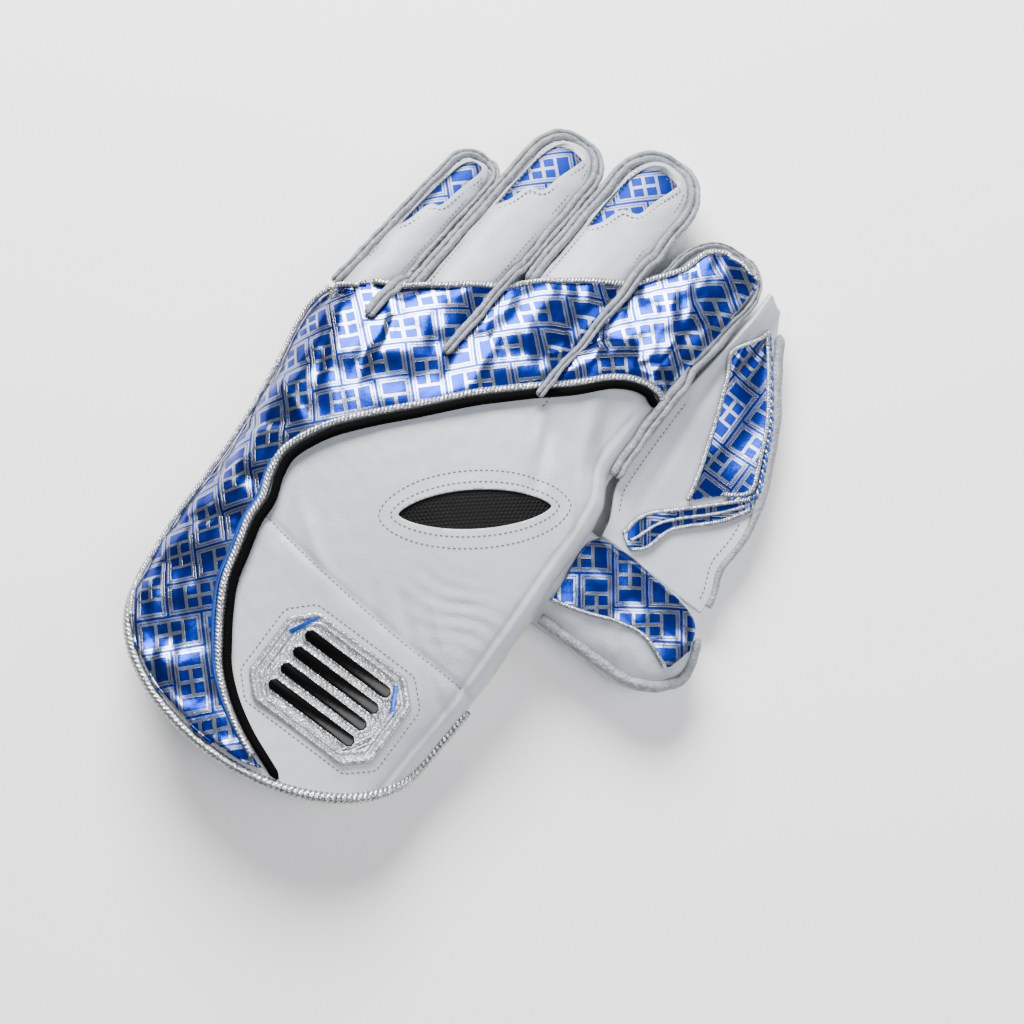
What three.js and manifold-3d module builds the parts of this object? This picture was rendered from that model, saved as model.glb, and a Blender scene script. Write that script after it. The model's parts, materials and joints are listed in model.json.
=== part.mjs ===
// A left-hand wicketkeeping glove, palm down on a table, in millimetres.
// +X runs towards the thumb, +Y towards the fingertips and +Z up out of the back of the hand.
// It is modelled with y = 0 on the knuckle line, and moved at the end so that the origin is
// under the middle of its outline, on the table.
import * as THREE from 'three';
import { mergeVertices } from 'three/addons/utils/BufferGeometryUtils.js';
import Module from 'manifold-3d';

const wasm = await Module();
wasm.setup();

// Driving sizes
const palmWidth = 152; // across the hand, seam to seam
const handLength = 190; // knuckle line to the end of the cuff
const cuffRound = 44; // how far the rounded end of the back's cuff passes its corners
const palmCuffShort = 27; // how much sooner the palm's side of the cuff ends
const palmCuffRound = 24; // how far the rounded end of the palm's cuff passes its corners
const backHeight = 54; // crown of the back over the palm's facing
const fingerReach = 131; // knuckle line to the tip of the middle finger
const tipHeight = 24; // a finger stall near its tip
const thumbReach = 76; // hand's middle line to the root of the thumb's free part
const thumbLength = 65; // free part of the thumb
const thumbWidth = 44;
const thumbHeight = 32;
const webReach = 55; // the web's outer edge past the side of the index finger
const webInnerHeight = 22; // the web's edge on the index finger
const webOuterHeight = 10;
const webSag = 6; // how far the web hangs below its two edges
const bandDip = 4; // valleys of the band between the fingers
const archHeight = 5; // the glove's natural arch, from the heel of the hand to the fingertips
const cuffLift = 4; // the cuff's end curls up off the table

// Walls, trims and clearances
const backLeather = 2.4;
const palmLeather = 2.2;
const stallWall = 2.4;
const webLeather = 2.4;
const printLeather = 1.2;
const facingRubber = 1.6;
const clearance = 0.3; // between pieces that touch
const bandLift = 1.8; // the printed band over the leather that it crosses
const frontGap = 1.8; // between the back's front edge and the stalls
const seamGap = 0.9; // between the back's and the palm's edges
const rimSeat = clearance * 1.7; // under each rim
const rimRadius = 1.5; // rolled leather round each finger
const pipingRadius = 1.7;
const bindingRadius = 2.0; // round the cuff's free edge
const sideBindingRadius = 1.3;
const windowDepth = 1.3; // the recess that holds a fingertip's printed insert
const windowLength = 46; // measured back from the fingertip
const ventThickness = 1.2;
const ventLength = 62;
const ventWidth = 16;
const badgeWidth = 62;
const badgeDepth = 44;
const badgeThickness = 1.6;
const badgeBars = 4;
const badgeBarPitch = 8.1;
const badgeBarLength = 42;
const badgeBarDepth = 4.9;
const badgeCells = 5; // facets of the badge each way
const badgeBarHeight = 1.2;
const backRoundness = 2.4; // superellipse exponents: 2 is round, more is squarer
const stallTopRoundness = 2.5;
const stallBaseRoundness = 4;
const palmRoundness = 5;

const half = palmWidth / 2;
const tableGap = facingRubber + clearance; // underside of the leather over the table

// The hand from the knuckle line (along 0) to the cuff's corners (along 1). Sides are shares of
// half the palm's width, heights are shares of the back's height.
const handSections = [
  { along: -0.38, left: -0.98, right: 0.89, crown: 0.72, leftSeam: 0.34, rightSeam: 0.36 },
  { along: 0.0, left: -1.0, right: 0.9, crown: 0.84, leftSeam: 0.36, rightSeam: 0.46 },
  { along: 0.12, left: -0.99, right: 0.99, crown: 0.91, leftSeam: 0.35, rightSeam: 0.6 },
  { along: 0.4, left: -0.89, right: 1.025, crown: 1.0, leftSeam: 0.33, rightSeam: 0.7 },
  { along: 0.6, left: -0.855, right: 1.035, crown: 0.97, leftSeam: 0.32, rightSeam: 0.64 },
  { along: 0.8, left: -0.845, right: 1.035, crown: 0.9, leftSeam: 0.34, rightSeam: 0.5 },
  { along: 1.0, left: -0.81, right: 1.01, crown: 0.84, leftSeam: 0.38, rightSeam: 0.42 },
  { along: 1.3, left: -0.81, right: 1.01, crown: 0.78, leftSeam: 0.42, rightSeam: 0.42 },
];

// Where the back and the palm end under the band, ahead of the knuckle line: across in shares
// of half the palm's width, ahead in shares of the hand's length
const frontLine = [
  { across: -1.1, ahead: -0.035 },
  { across: -0.66, ahead: -0.02 },
  { across: -0.44, ahead: 0.0 },
  { across: 0.0, ahead: 0.0 },
  { across: 0.2, ahead: 0.035 },
  { across: 0.42, ahead: 0.12 },
  { across: 0.63, ahead: 0.21 },
  { across: 0.79, ahead: 0.245 },
  { across: 1.1, ahead: 0.25 },
];

// The four stalls. Middles and widths are shares of half the palm's width, the tip is a share of
// the reach, and tail is where the right-hand rim ends, as a share of the reach.
const fingers = [
  { name: 'little', root: -0.815, tipAt: -0.776, width: 0.17, tipWidth: 0.145, tip: 0.635, tail: -0.07 },
  { name: 'ring', root: -0.388, tipAt: -0.39, width: 0.229, tipWidth: 0.222, tip: 0.88, tail: -0.03 },
  { name: 'middle', root: 0.132, tipAt: 0.12, width: 0.27, tipWidth: 0.262, tip: 1.0, tail: 0.03 },
  { name: 'index', root: 0.645, tipAt: 0.725, width: 0.246, tipWidth: 0.268, tip: 0.87, tail: 0.0 },
];

// How a stall's height falls from its root (0) to its tip (1)
const stallSections = [
  { along: 0.0, fall: 0.0 },
  { along: 0.4, fall: 0.42 },
  { along: 0.75, fall: 0.8 },
  { along: 1.0, fall: 1.0 },
];

// The scalloped opening over each fingertip's insert: across in shares of the stall's half
// width, back in shares of the opening's length
const windowOutline = [
  { across: -0.62, back: 1.0 },
  { across: -0.42, back: 0.86 },
  { across: -0.26, back: 0.67 },
  { across: 0.08, back: 0.6 },
  { across: 0.18, back: 0.42 },
  { across: 0.28, back: 0.14 },
  { across: 0.0, back: 0.1 },
  { across: -0.36, back: 0.17 },
  { across: -0.58, back: 0.34 },
  { across: -0.66, back: 0.62 },
];

// The printed band and side panel. Each row joins a point of the piping, on the inside of the
// bend, to a point of the band's outer edge, all as shares of half the palm's width in x and of
// the hand's length in y.
const bandRows = [
  { pipingX: 0.39, pipingY: -0.972, edgeX: 0.282, edgeY: -0.985 },
  { pipingX: 0.21, pipingY: -0.943, edgeX: 0.055, edgeY: -0.988 },
  { pipingX: 0.04, pipingY: -0.905, edgeX: -0.171, edgeY: -0.976 },
  { pipingX: -0.105, pipingY: -0.858, edgeX: -0.374, edgeY: -0.953 },
  { pipingX: -0.21, pipingY: -0.805, edgeX: -0.553, edgeY: -0.916 },
  { pipingX: -0.3, pipingY: -0.753, edgeX: -0.689, edgeY: -0.868 },
  { pipingX: -0.38, pipingY: -0.695, edgeX: -0.764, edgeY: -0.81 },
  { pipingX: -0.43, pipingY: -0.626, edgeX: -0.797, edgeY: -0.735 },
  { pipingX: -0.475, pipingY: -0.56, edgeX: -0.822, edgeY: -0.64 },
  { pipingX: -0.485, pipingY: -0.505, edgeX: -0.832, edgeY: -0.53 },
  { pipingX: -0.535, pipingY: -0.45, edgeX: -0.848, edgeY: -0.4 },
  { pipingX: -0.545, pipingY: -0.39, edgeX: -0.89, edgeY: -0.25 },
  { pipingX: -0.45, pipingY: -0.31, edgeX: -0.96, edgeY: -0.08 },
  { pipingX: -0.3, pipingY: -0.235, edgeX: -0.84, edgeY: 0.0 },
  { pipingX: -0.12, pipingY: -0.155, edgeX: -0.52, edgeY: 0.075 },
  { pipingX: 0.08, pipingY: -0.06, edgeX: -0.26, edgeY: 0.17 },
  { pipingX: 0.28, pipingY: 0.025, edgeX: 0.0, edgeY: 0.255 },
  { pipingX: 0.46, pipingY: 0.095, edgeX: 0.24, edgeY: 0.34 },
  { pipingX: 0.6, pipingY: 0.162, edgeX: 0.42, edgeY: 0.41 },
  { pipingX: 0.72, pipingY: 0.197, edgeX: 0.545, edgeY: 0.475 },
  { pipingX: 0.82, pipingY: 0.208, edgeX: 0.6, edgeY: 0.55 },
  { pipingX: 0.87, pipingY: 0.205, edgeX: 0.74, edgeY: 0.568 },
  { pipingX: 0.865, pipingY: 0.25, edgeX: 0.835, edgeY: 0.54 },
];

// The web's outer edge, past the side of the index finger: out in shares of the web's reach,
// along from the fingertip (0) to the thumb (1)
const webRows = [
  { along: 0.0, out: 0.06 },
  { along: 0.09, out: 0.17 },
  { along: 0.22, out: 0.38 },
  { along: 0.35, out: 0.62 },
  { along: 0.47, out: 0.79 },
  { along: 0.6, out: 0.93 },
  { along: 0.73, out: 1.0 },
  { along: 0.87, out: 0.96 },
  { along: 1.0, out: 0.93 },
];

// Where the printed panel and the printed strip lie on the web: across from the finger (0) to
// the outer edge (1), along as above
const webPrintOutline = [
  { across: 0.56, along: 0.12 },
  { across: 0.105, along: 0.245 },
  { across: 0.245, along: 0.335 },
  { across: 0.375, along: 0.455 },
  { across: 0.43, along: 0.567 },
  { across: 0.475, along: 0.665 },
  { across: 0.5, along: 0.735 },
  { across: 0.72, along: 0.65 },
  { across: 0.91, along: 0.595 },
  { across: 0.93, along: 0.52 },
  { across: 0.93, along: 0.417 },
  { across: 0.9, along: 0.305 },
  { across: 0.82, along: 0.2 },
];
const webStripOutline = [
  { across: 0.14, along: 0.955 },
  { across: 0.24, along: 0.885 },
  { across: 0.49, along: 0.775 },
  { across: 0.71, along: 0.688 },
  { across: 0.88, along: 0.632 },
  { across: 0.93, along: 0.665 },
  { across: 0.78, along: 0.73 },
  { across: 0.55, along: 0.835 },
  { across: 0.37, along: 0.94 },
  { across: 0.26, along: 0.98 },
];

// The thumb's printed panel: out from the hand's edge in shares of its length, across in shares
// of half its width, positive towards the fingers
const thumbPrintOutline = [
  { out: 0.08, across: -0.66 },
  { out: 0.3, across: -0.5 },
  { out: 0.5, across: -0.22 },
  { out: 0.66, across: -0.02 },
  { out: 0.86, across: -0.06 },
  { out: 0.92, across: 0.3 },
  { out: 0.8, across: 0.6 },
  { out: 0.5, across: 0.74 },
  { out: 0.08, across: 0.74 },
];

const leather = new THREE.MeshStandardMaterial({ color: 0xdfe2e5, roughness: 0.45 });
const innerLeather = new THREE.MeshStandardMaterial({ color: 0xd5d8dc, roughness: 0.55 });
const print = new THREE.MeshStandardMaterial({ color: 0x1c4fc4, roughness: 0.3, metalness: 0.5 });
const silver = new THREE.MeshStandardMaterial({ color: 0xb9bec4, roughness: 0.35, metalness: 0.8 });
const black = new THREE.MeshStandardMaterial({ color: 0x111214, roughness: 0.5 });
const rubber = new THREE.MeshStandardMaterial({ color: 0x2a57b8, roughness: 0.75 });
const clearPlastic = new THREE.MeshStandardMaterial({ color: 0xc9cdd2, roughness: 0.3 });

// Reads one column of a table at a place between its rows, on a smooth curve through them
function follow(rows, key, place, column) {
  const last = rows.length - 1;
  const at = THREE.MathUtils.clamp(place, rows[0][key], rows[last][key]);
  let i = 0;
  while (i < last - 1 && rows[i + 1][key] < at) i += 1;
  const slope = (k) => {
    const a = rows[Math.max(k - 1, 0)];
    const b = rows[Math.min(k + 1, last)];
    return (b[column] - a[column]) / (b[key] - a[key]);
  };
  const step = rows[i + 1][key] - rows[i][key];
  const t = (at - rows[i][key]) / step;
  const t2 = t * t;
  const t3 = t2 * t;
  return (2 * t3 - 3 * t2 + 1) * rows[i][column] + (t3 - 2 * t2 + t) * step * slope(i)
    + (3 * t2 - 2 * t3) * rows[i + 1][column] + (t3 - t2) * step * slope(i + 1);
}

// The hand's section at y: its middle, half width, crown and seam heights
const cuffCorner = handLength - cuffRound;
function handAt(y) {
  const place = -y / cuffCorner;
  const left = half * follow(handSections, 'along', place, 'left');
  const right = half * follow(handSections, 'along', place, 'right');
  const height = (column) => backHeight * follow(handSections, 'along', place, column);
  return {
    middle: (left + right) / 2,
    reach: (right - left) / 2,
    crown: height('crown'),
    leftSeam: height('leftSeam'),
    rightSeam: height('rightSeam'),
  };
}

// Height of the leather of the back over the table at a place, before the arch
function backTop(x, y) {
  const hand = handAt(y);
  const s = THREE.MathUtils.clamp((x - hand.middle) / hand.reach, -1, 1);
  const seam = THREE.MathUtils.lerp(hand.leftSeam, hand.rightSeam, (s + 1) / 2);
  const dome = (1 - Math.abs(s) ** backRoundness) ** (1 / backRoundness);
  return seam + (hand.crown - seam) * dome;
}

const frontAt = (x) => handLength * follow(frontLine, 'across', x / half, 'ahead');

// The glove's arch along its length: flat on the table at the heel of the hand, raised between
// there and the fingertips, and curled up towards the cuff
const heelFront = -handLength * 0.5;
const heelBack = -handLength * 0.7;
function arch(y) {
  if (y < heelBack) return cuffLift * ((heelBack - y) / (handLength + heelBack)) ** 2;
  if (y < heelFront) return 0;
  const span = Math.sin(Math.PI * Math.min(1, (y - heelFront) / (fingerReach - heelFront)));
  return archHeight * span * span;
}

// A closed wall between a surface and its copy, set back along the normal
function wall(surface, nu, nv, thickness) {
  const outer = [];
  const inner = [];
  const step = 1e-3;
  for (let j = 0; j <= nv; j += 1) {
    for (let i = 0; i <= nu; i += 1) {
      const u = i / nu;
      const v = j / nv;
      const p = surface(u, v);
      const du = surface(Math.min(1, u + step), v).sub(surface(Math.max(0, u - step), v));
      const dv = surface(u, Math.min(1, v + step)).sub(surface(u, Math.max(0, v - step)));
      const n = du.cross(dv).normalize();
      outer.push(p);
      inner.push(p.clone().addScaledVector(n, -thickness));
    }
  }
  const row = nu + 1;
  const count = outer.length;
  const faces = [];
  const quad = (a, b, c, d) => faces.push(a, b, c, a, c, d);
  for (let j = 0; j < nv; j += 1) {
    for (let i = 0; i < nu; i += 1) {
      const a = j * row + i;
      quad(a, a + 1, a + row + 1, a + row);
      quad(count + a, count + a + row, count + a + row + 1, count + a + 1);
    }
  }
  for (let i = 0; i < nu; i += 1) {
    const far = nv * row + i;
    quad(i + 1, i, count + i, count + i + 1);
    quad(far, far + 1, count + far + 1, count + far);
  }
  for (let j = 0; j < nv; j += 1) {
    const a = j * row;
    const b = a + nu;
    quad(a, a + row, count + a + row, count + a);
    quad(b + row, b, count + b, count + b + row);
  }
  return solidFrom([...outer, ...inner], faces);
}

// A body from points and triangles, lifted by the arch
function solidFrom(points, faces) {
  const vertProperties = new Float32Array(points.flatMap((p) => [p.x, p.y, p.z + arch(p.y)]));
  const triVerts = new Uint32Array(faces);
  return new wasm.Manifold(new wasm.Mesh({ numProp: 3, vertProperties, triVerts }));
}

// A closed extrusion as points and triangles
function meshOf(geometry) {
  geometry.deleteAttribute('normal');
  geometry.deleteAttribute('uv');
  const merged = mergeVertices(geometry, 1e-4);
  const at = merged.attributes.position;
  const points = Array.from({ length: at.count }, (_, i) => (
    new THREE.Vector3().fromBufferAttribute(at, i)));
  return { points, faces: [...merged.index.array] };
}

// A rounded strip that follows points in space
function cord(points, radius, steps, sides = 5) {
  const section = new THREE.Shape();
  for (let i = 0; i < sides; i += 1) {
    const a = (2 * Math.PI * i) / sides;
    if (i === 0) section.moveTo(radius * Math.cos(a), radius * Math.sin(a));
    else section.lineTo(radius * Math.cos(a), radius * Math.sin(a));
  }
  const extrudePath = new THREE.CatmullRomCurve3(points, false, 'centripetal');
  const made = meshOf(new THREE.ExtrudeGeometry(section, { steps, extrudePath, bevelEnabled: false }));
  return solidFrom(made.points, made.faces);
}

// A vertical block over a plan outline, grown outwards by a margin, to cut pieces with
function block(outline, grow = 0) {
  const n = outline.length;
  const turn = THREE.ShapeUtils.area(outline) > 0 ? 1 : -1;
  const sideOf = (a, b) => new THREE.Vector2(b.y - a.y, a.x - b.x).normalize();
  const moved = outline.map((p, i) => {
    const before = sideOf(outline[(i + n - 1) % n], p);
    const after = sideOf(p, outline[(i + 1) % n]);
    const mitre = before.clone().add(after).divideScalar(1 + Math.max(-0.5, before.dot(after)));
    return p.clone().addScaledVector(mitre, turn * grow);
  });
  const shape = new THREE.Shape(moved);
  const depth = backHeight * 2;
  const made = meshOf(new THREE.ExtrudeGeometry(shape, { depth, bevelEnabled: false }));
  const vertProperties = new Float32Array(made.points.flatMap((p) => [p.x, p.y, p.z - facingRubber]));
  const triVerts = new Uint32Array(made.faces);
  return new wasm.Manifold(new wasm.Mesh({ numProp: 3, vertProperties, triVerts }));
}

// A sheet over a plan rectangle, between two heights that depend on the place
function slab(x0, x1, y0, y1, nx, ny, base, top) {
  const points = [];
  const faces = [];
  const row = nx + 1;
  const count = row * (ny + 1);
  for (const height of [top, base]) {
    for (let j = 0; j <= ny; j += 1) {
      for (let i = 0; i <= nx; i += 1) {
        const x = x0 + ((x1 - x0) * i) / nx;
        const y = y0 + ((y1 - y0) * j) / ny;
        points.push(new THREE.Vector3(x, y, height(x, y)));
      }
    }
  }
  const quad = (a, b, c, d) => faces.push(a, b, c, a, c, d);
  for (let j = 0; j < ny; j += 1) {
    for (let i = 0; i < nx; i += 1) {
      const a = j * row + i;
      quad(a, a + 1, a + row + 1, a + row);
      quad(count + a, count + a + row, count + a + row + 1, count + a + 1);
    }
  }
  for (let i = 0; i < nx; i += 1) {
    const far = ny * row + i;
    quad(i + 1, i, count + i, count + i + 1);
    quad(far, far + 1, count + far + 1, count + far);
  }
  for (let j = 0; j < ny; j += 1) {
    const a = j * row;
    const b = a + nx;
    quad(a, a + row, count + a + row, count + a);
    quad(b + row, b, count + b, count + b + row);
  }
  return solidFrom(points, faces);
}

// A stall's section at y, grown outwards all round by a margin
function stallAt(finger, y, grow = 0) {
  const reach = finger.tip * fingerReach;
  const rootX = half * finger.root;
  const rootY = frontAt(rootX);
  const place = THREE.MathUtils.clamp((y - rootY) / (reach - rootY), 0, 1);
  const wide = half * THREE.MathUtils.lerp(finger.width, finger.tipWidth, place) - clearance * 3;
  const fall = follow(stallSections, 'along', place, 'fall');
  const top = THREE.MathUtils.lerp(backTop(rootX, rootY), tableGap + tipHeight, fall);
  const middle = (tableGap + top) / 2;
  const roundFrom = reach - wide;
  const past = THREE.MathUtils.clamp((y - roundFrom) / (wide + grow), 0, 1);
  return {
    x: half * THREE.MathUtils.lerp(finger.root, finger.tipAt, place),
    z: middle,
    wide: (wide + grow) * Math.sqrt(1 - past * past),
    high: (top - middle + grow) * (1 - past ** 3) ** (1 / 3),
    roundFrom,
  };
}

// A point on a stall's surface; the angle runs from the thumb's side up over the back
function stallPoint(finger, y, angle, grow = 0) {
  const at = stallAt(finger, y, grow);
  const [c, s] = [Math.cos(angle), Math.sin(angle)];
  const power = 2 / (s >= 0 ? stallTopRoundness : stallBaseRoundness);
  return new THREE.Vector3(
    at.x + at.wide * Math.sign(c) * Math.abs(c) ** power,
    y,
    at.z + at.high * Math.sign(s) * Math.abs(s) ** power,
  );
}

// Rings of points joined into a closed body with a flat root and a pointed tip
function spindle(rings, tip) {
  const sides = rings[0].length;
  const points = rings.flat();
  const faces = [];
  for (let j = 0; j < rings.length - 1; j += 1) {
    for (let i = 0; i < sides; i += 1) {
      const a = j * sides + i;
      const b = j * sides + ((i + 1) % sides);
      faces.push(a, a + sides, b, b, a + sides, b + sides);
    }
  }
  const lastRing = (rings.length - 1) * sides;
  points.push(tip);
  for (let i = 0; i < sides; i += 1) {
    faces.push(lastRing + i, points.length - 1, lastRing + ((i + 1) % sides));
  }
  const middle = rings[0].reduce((sum, p) => sum.add(p), new THREE.Vector3());
  points.push(middle.multiplyScalar(1 / sides));
  for (let i = 0; i < sides; i += 1) faces.push(i, (i + 1) % sides, points.length - 1);
  return solidFrom(points, faces);
}

// A stall's whole form; its root follows the front edge of the back, set back by a margin
const stallSides = 16;
const hollowSides = 12;
function stallBody(finger, grow, setBack, sides = stallSides) {
  const reach = finger.tip * fingerReach;
  const roundFrom = stallAt(finger, reach).roundFrom;
  const rootY = frontAt(half * finger.root);
  const ring = (y, slant) => Array.from({ length: sides }, (_, i) => {
    const p = stallPoint(finger, y, (2 * Math.PI * i) / sides, grow);
    const ahead = frontAt(p.x) + frontGap - setBack - rootY;
    return p.setY(y + ahead * slant);
  });
  const rings = [];
  for (let i = 0; i < 5; i += 1) {
    rings.push(ring(THREE.MathUtils.lerp(rootY, roundFrom, i / 4), 1 - i / 4));
  }
  for (let i = 1; i <= 4; i += 1) {
    rings.push(ring(roundFrom + (reach + grow - roundFrom) * Math.sin((Math.PI / 2) * (i / 4.4)), 0));
  }
  const end = stallAt(finger, reach, grow);
  return spindle(rings, new THREE.Vector3(end.x, reach + grow, end.z));
}

function windowPlan(finger) {
  const tipY = finger.tip * fingerReach;
  return windowOutline.map((row) => {
    const y = tipY - windowLength * row.back;
    const at = stallAt(finger, Math.min(y, tipY - windowLength * 0.35));
    return new THREE.Vector2(at.x + at.wide * row.across, y);
  });
}

// Everything below a height, to keep a window's cut to the upper side
function lowerHalf(height) {
  const far = half * 3;
  return slab(-far, far, -far, far, 1, 30, () => -half, () => height);
}

// A stall with its hollow, and the recess for its insert where it has one
function makeStall(finger) {
  const stall = stallBody(finger, 0, 0).subtract(stallBody(finger, -stallWall, stallWall, hollowSides));
  if (finger.name === 'index') return stall;
  const recess = stallBody(finger, windowDepth, stallWall)
    .subtract(stallBody(finger, -windowDepth, stallWall * 2))
    .subtract(lowerHalf(stallAt(finger, 0).z - clearance))
    .intersect(block(windowPlan(finger), clearance));
  return stall.subtract(recess);
}

function makeInsert(finger) {
  return stallBody(finger, 0, 0)
    .subtract(stallBody(finger, clearance * 2 - windowDepth, stallWall))
    .intersect(block(windowPlan(finger)))
    .subtract(lowerHalf(stallAt(finger, 0).z));
}

function stallTop(finger, x, y) {
  const at = stallAt(finger, Math.min(y, finger.tip * fingerReach - finger.width * half * 0.3));
  const share = Math.abs(x - at.x) / at.wide;
  if (share >= 1) return 0;
  return at.z + at.high * (1 - share ** stallTopRoundness) ** (1 / stallTopRoundness);
}

// Height of the stalls ahead of the back, as a sheet that dips between them
function overStalls(x, y) {
  const at = fingers.map((finger) => stallAt(finger, Math.min(y, finger.tip * fingerReach - 4)));
  const crest = at.map((a) => a.z + a.high);
  const next = at.findIndex((a) => a.x > x);
  if (next > 0) {
    const t = (x - at[next - 1].x) / (at[next].x - at[next - 1].x);
    const dip = bandDip * Math.sin(Math.PI * t) ** 4;
    return THREE.MathUtils.lerp(crest[next - 1], crest[next], THREE.MathUtils.smoothstep(t, 0, 1)) - dip;
  }
  const a = next === 0 ? at[0] : at[at.length - 1];
  const share = Math.min(1, Math.abs(x - a.x) / a.wide);
  return a.z + a.high * (1 - share ** stallTopRoundness) ** (1 / stallTopRoundness);
}

// Height of the leather under the band at a place
function underBand(x, y) {
  const ahead = y - frontAt(x);
  if (ahead <= 0) return backTop(x, y);
  const blend = THREE.MathUtils.smoothstep(ahead, palmWidth * 0.02, palmWidth * 0.11);
  const sheet = THREE.MathUtils.lerp(backTop(x, y), overStalls(x, y), blend);
  return Math.max(sheet, ...fingers.map((finger) => stallTop(finger, x, y)));
}

const bandPoint = (row, side) => new THREE.Vector2(half * row[`${side}X`], handLength * row[`${side}Y`]);
const pipingCurve = new THREE.SplineCurve(bandRows.map((row) => bandPoint(row, 'piping')));
const bandEdgeCurve = new THREE.SplineCurve(bandRows.map((row) => bandPoint(row, 'edge')));

// The band, lifted off the leather along the leather's own slope
function bandSurface(u, v) {
  const across = Math.cos((Math.PI / 2) * u);
  const p = pipingCurve.getPoint(v).lerp(bandEdgeCurve.getPoint(v), across);
  const step = clearance;
  const height = underBand(p.x, p.y);
  const slope = new THREE.Vector3(
    (underBand(p.x - step, p.y) - underBand(p.x + step, p.y)) / (2 * step),
    (underBand(p.x, p.y - step) - underBand(p.x, p.y + step)) / (2 * step),
    1,
  );
  return new THREE.Vector3(p.x, p.y, height)
    .addScaledVector(slope.normalize(), bandLift + printLeather);
}

const makeBand = () => wall(bandSurface, 8, 46, printLeather);

// The piping lies on the back along the band's inner edge
function makePiping() {
  const aside = pipingRadius + clearance;
  const points = [];
  const count = 30;
  for (let i = 0; i <= count; i += 1) {
    const t = 0.01 + 0.89 * (i / count);
    const p = pipingCurve.getPoint(t);
    const way = pipingCurve.getTangent(t);
    const x = p.x + way.y * aside;
    const y = p.y - way.x * aside;
    points.push(new THREE.Vector3(x, y, underBand(x, y) + pipingRadius + bandLift));
  }
  return cord(points, pipingRadius, 38);
}

// The back from seam to seam, round-ended at the cuff
function backPoint(s, v) {
  const end = -(cuffCorner + cuffRound * Math.sqrt(Math.max(0, 1 - s * s)));
  const knuckles = handAt(0);
  const y = THREE.MathUtils.lerp(frontAt(knuckles.middle + knuckles.reach * s), end, v);
  const hand = handAt(y);
  const x = hand.middle + hand.reach * s;
  return new THREE.Vector3(x, y, backTop(x, y));
}

function makeBack() {
  const surface = (u, v) => backPoint(-Math.sin(Math.PI * (u - 0.5)), v);
  return wall(surface, 20, 14, backLeather);
}

// The palm: a trough from seam to seam, with an opening for the thumb
function makePalm() {
  const corner = cuffCorner - palmCuffShort + (cuffRound - palmCuffRound) / 2;
  const surface = (u, v) => {
    const w = 2 * u - 1;
    const s = Math.sign(w) * (1 - (1 - Math.abs(w)) ** 2.5);
    const end = -(corner + palmCuffRound * Math.sqrt(Math.max(0, 1 - s * s)));
    const knuckles = handAt(0);
    const y = THREE.MathUtils.lerp(frontAt(knuckles.middle + knuckles.reach * s), end, v);
    const hand = handAt(y);
    const seam = THREE.MathUtils.lerp(hand.leftSeam, hand.rightSeam, (s + 1) / 2) - seamGap;
    const fall = (1 - Math.abs(s) ** palmRoundness) ** (1 / palmRoundness);
    return new THREE.Vector3(hand.middle + hand.reach * s, y, seam - (seam - tableGap) * fall);
  };
  return wall(surface, 16, 11, palmLeather);
}

// The thumb lies across the hand, so its stall is a finger's laid along +X
const thumbMiddle = -handLength * 0.235;
function thumbBody(grow, from, sides = stallSides) {
  const end = thumbReach + thumbLength;
  const roundFrom = end - thumbWidth * 0.5;
  const places = [from];
  for (let i = 1; i <= 3; i += 1) places.push(from + ((roundFrom - from) * i) / 3);
  for (let i = 1; i <= 5; i += 1) {
    places.push(roundFrom + (end + grow - roundFrom) * Math.sin((Math.PI / 2) * (i / 5.4)));
  }
  const rings = places.map((x) => Array.from({ length: sides }, (_, i) => (
    thumbPoint(x, (2 * Math.PI * i) / sides, grow))));
  return spindle(rings, new THREE.Vector3(end + grow, thumbMiddle, tableGap + thumbHeight * 0.42));
}

// A point on the thumb's stall; the angle runs from the cuff's side up over the back
function thumbPoint(x, angle, grow = 0) {
  const end = thumbReach + thumbLength;
  const share = THREE.MathUtils.clamp((x - thumbReach) / thumbLength, 0, 1);
  const roundFrom = end - thumbWidth * 0.5;
  const past = THREE.MathUtils.clamp((x - roundFrom) / (end + grow - roundFrom), 0, 1);
  const top = tableGap + thumbHeight * (1 - 0.16 * share);
  const middle = (tableGap + top) / 2;
  const [c, s] = [-Math.cos(angle), Math.sin(angle)];
  const power = 2 / (s >= 0 ? stallTopRoundness : stallBaseRoundness);
  const wide = (thumbWidth / 2 + grow) * Math.sqrt(1 - past * past);
  const high = (top - middle + grow) * (1 - past ** 3) ** (1 / 3);
  return new THREE.Vector3(
    x,
    thumbMiddle + wide * Math.sign(c) * Math.abs(c) ** power,
    middle + high * Math.sign(s) * Math.abs(s) ** power,
  );
}

const thumbRoot = thumbReach - thumbWidth * 0.25;
function makeThumb() {
  return thumbBody(0, thumbRoot).subtract(thumbBody(-stallWall, thumbRoot - stallWall, hollowSides));
}

function makeThumbPrint() {
  const outline = thumbPrintOutline.map((row) => new THREE.Vector2(
    thumbReach + thumbLength * row.out, thumbMiddle + (thumbWidth / 2) * row.across));
  const skin = thumbBody(clearance + printLeather, thumbRoot)
    .subtract(thumbBody(clearance, thumbRoot - stallWall));
  return skin.intersect(block(outline)).subtract(lowerHalf(tableGap + thumbHeight * 0.5));
}

// The thumb's rolled edge, from the hand round the tip and back
function makeThumbRim() {
  const grow = rimRadius + rimSeat;
  const end = thumbReach + thumbLength;
  const angle = 0.17 * Math.PI;
  const start = thumbReach + thumbLength * 0.08;
  const side = (a) => [0, 0.25, 0.5, 0.72, 0.88, 0.97].map((share) => (
    thumbPoint(THREE.MathUtils.lerp(start, end, share), a, grow)));
  const tip = thumbPoint(end + grow * 0.8, angle, grow);
  return cord([...side(angle), tip, ...side(Math.PI - angle).reverse()], rimRadius, 22);
}

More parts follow.
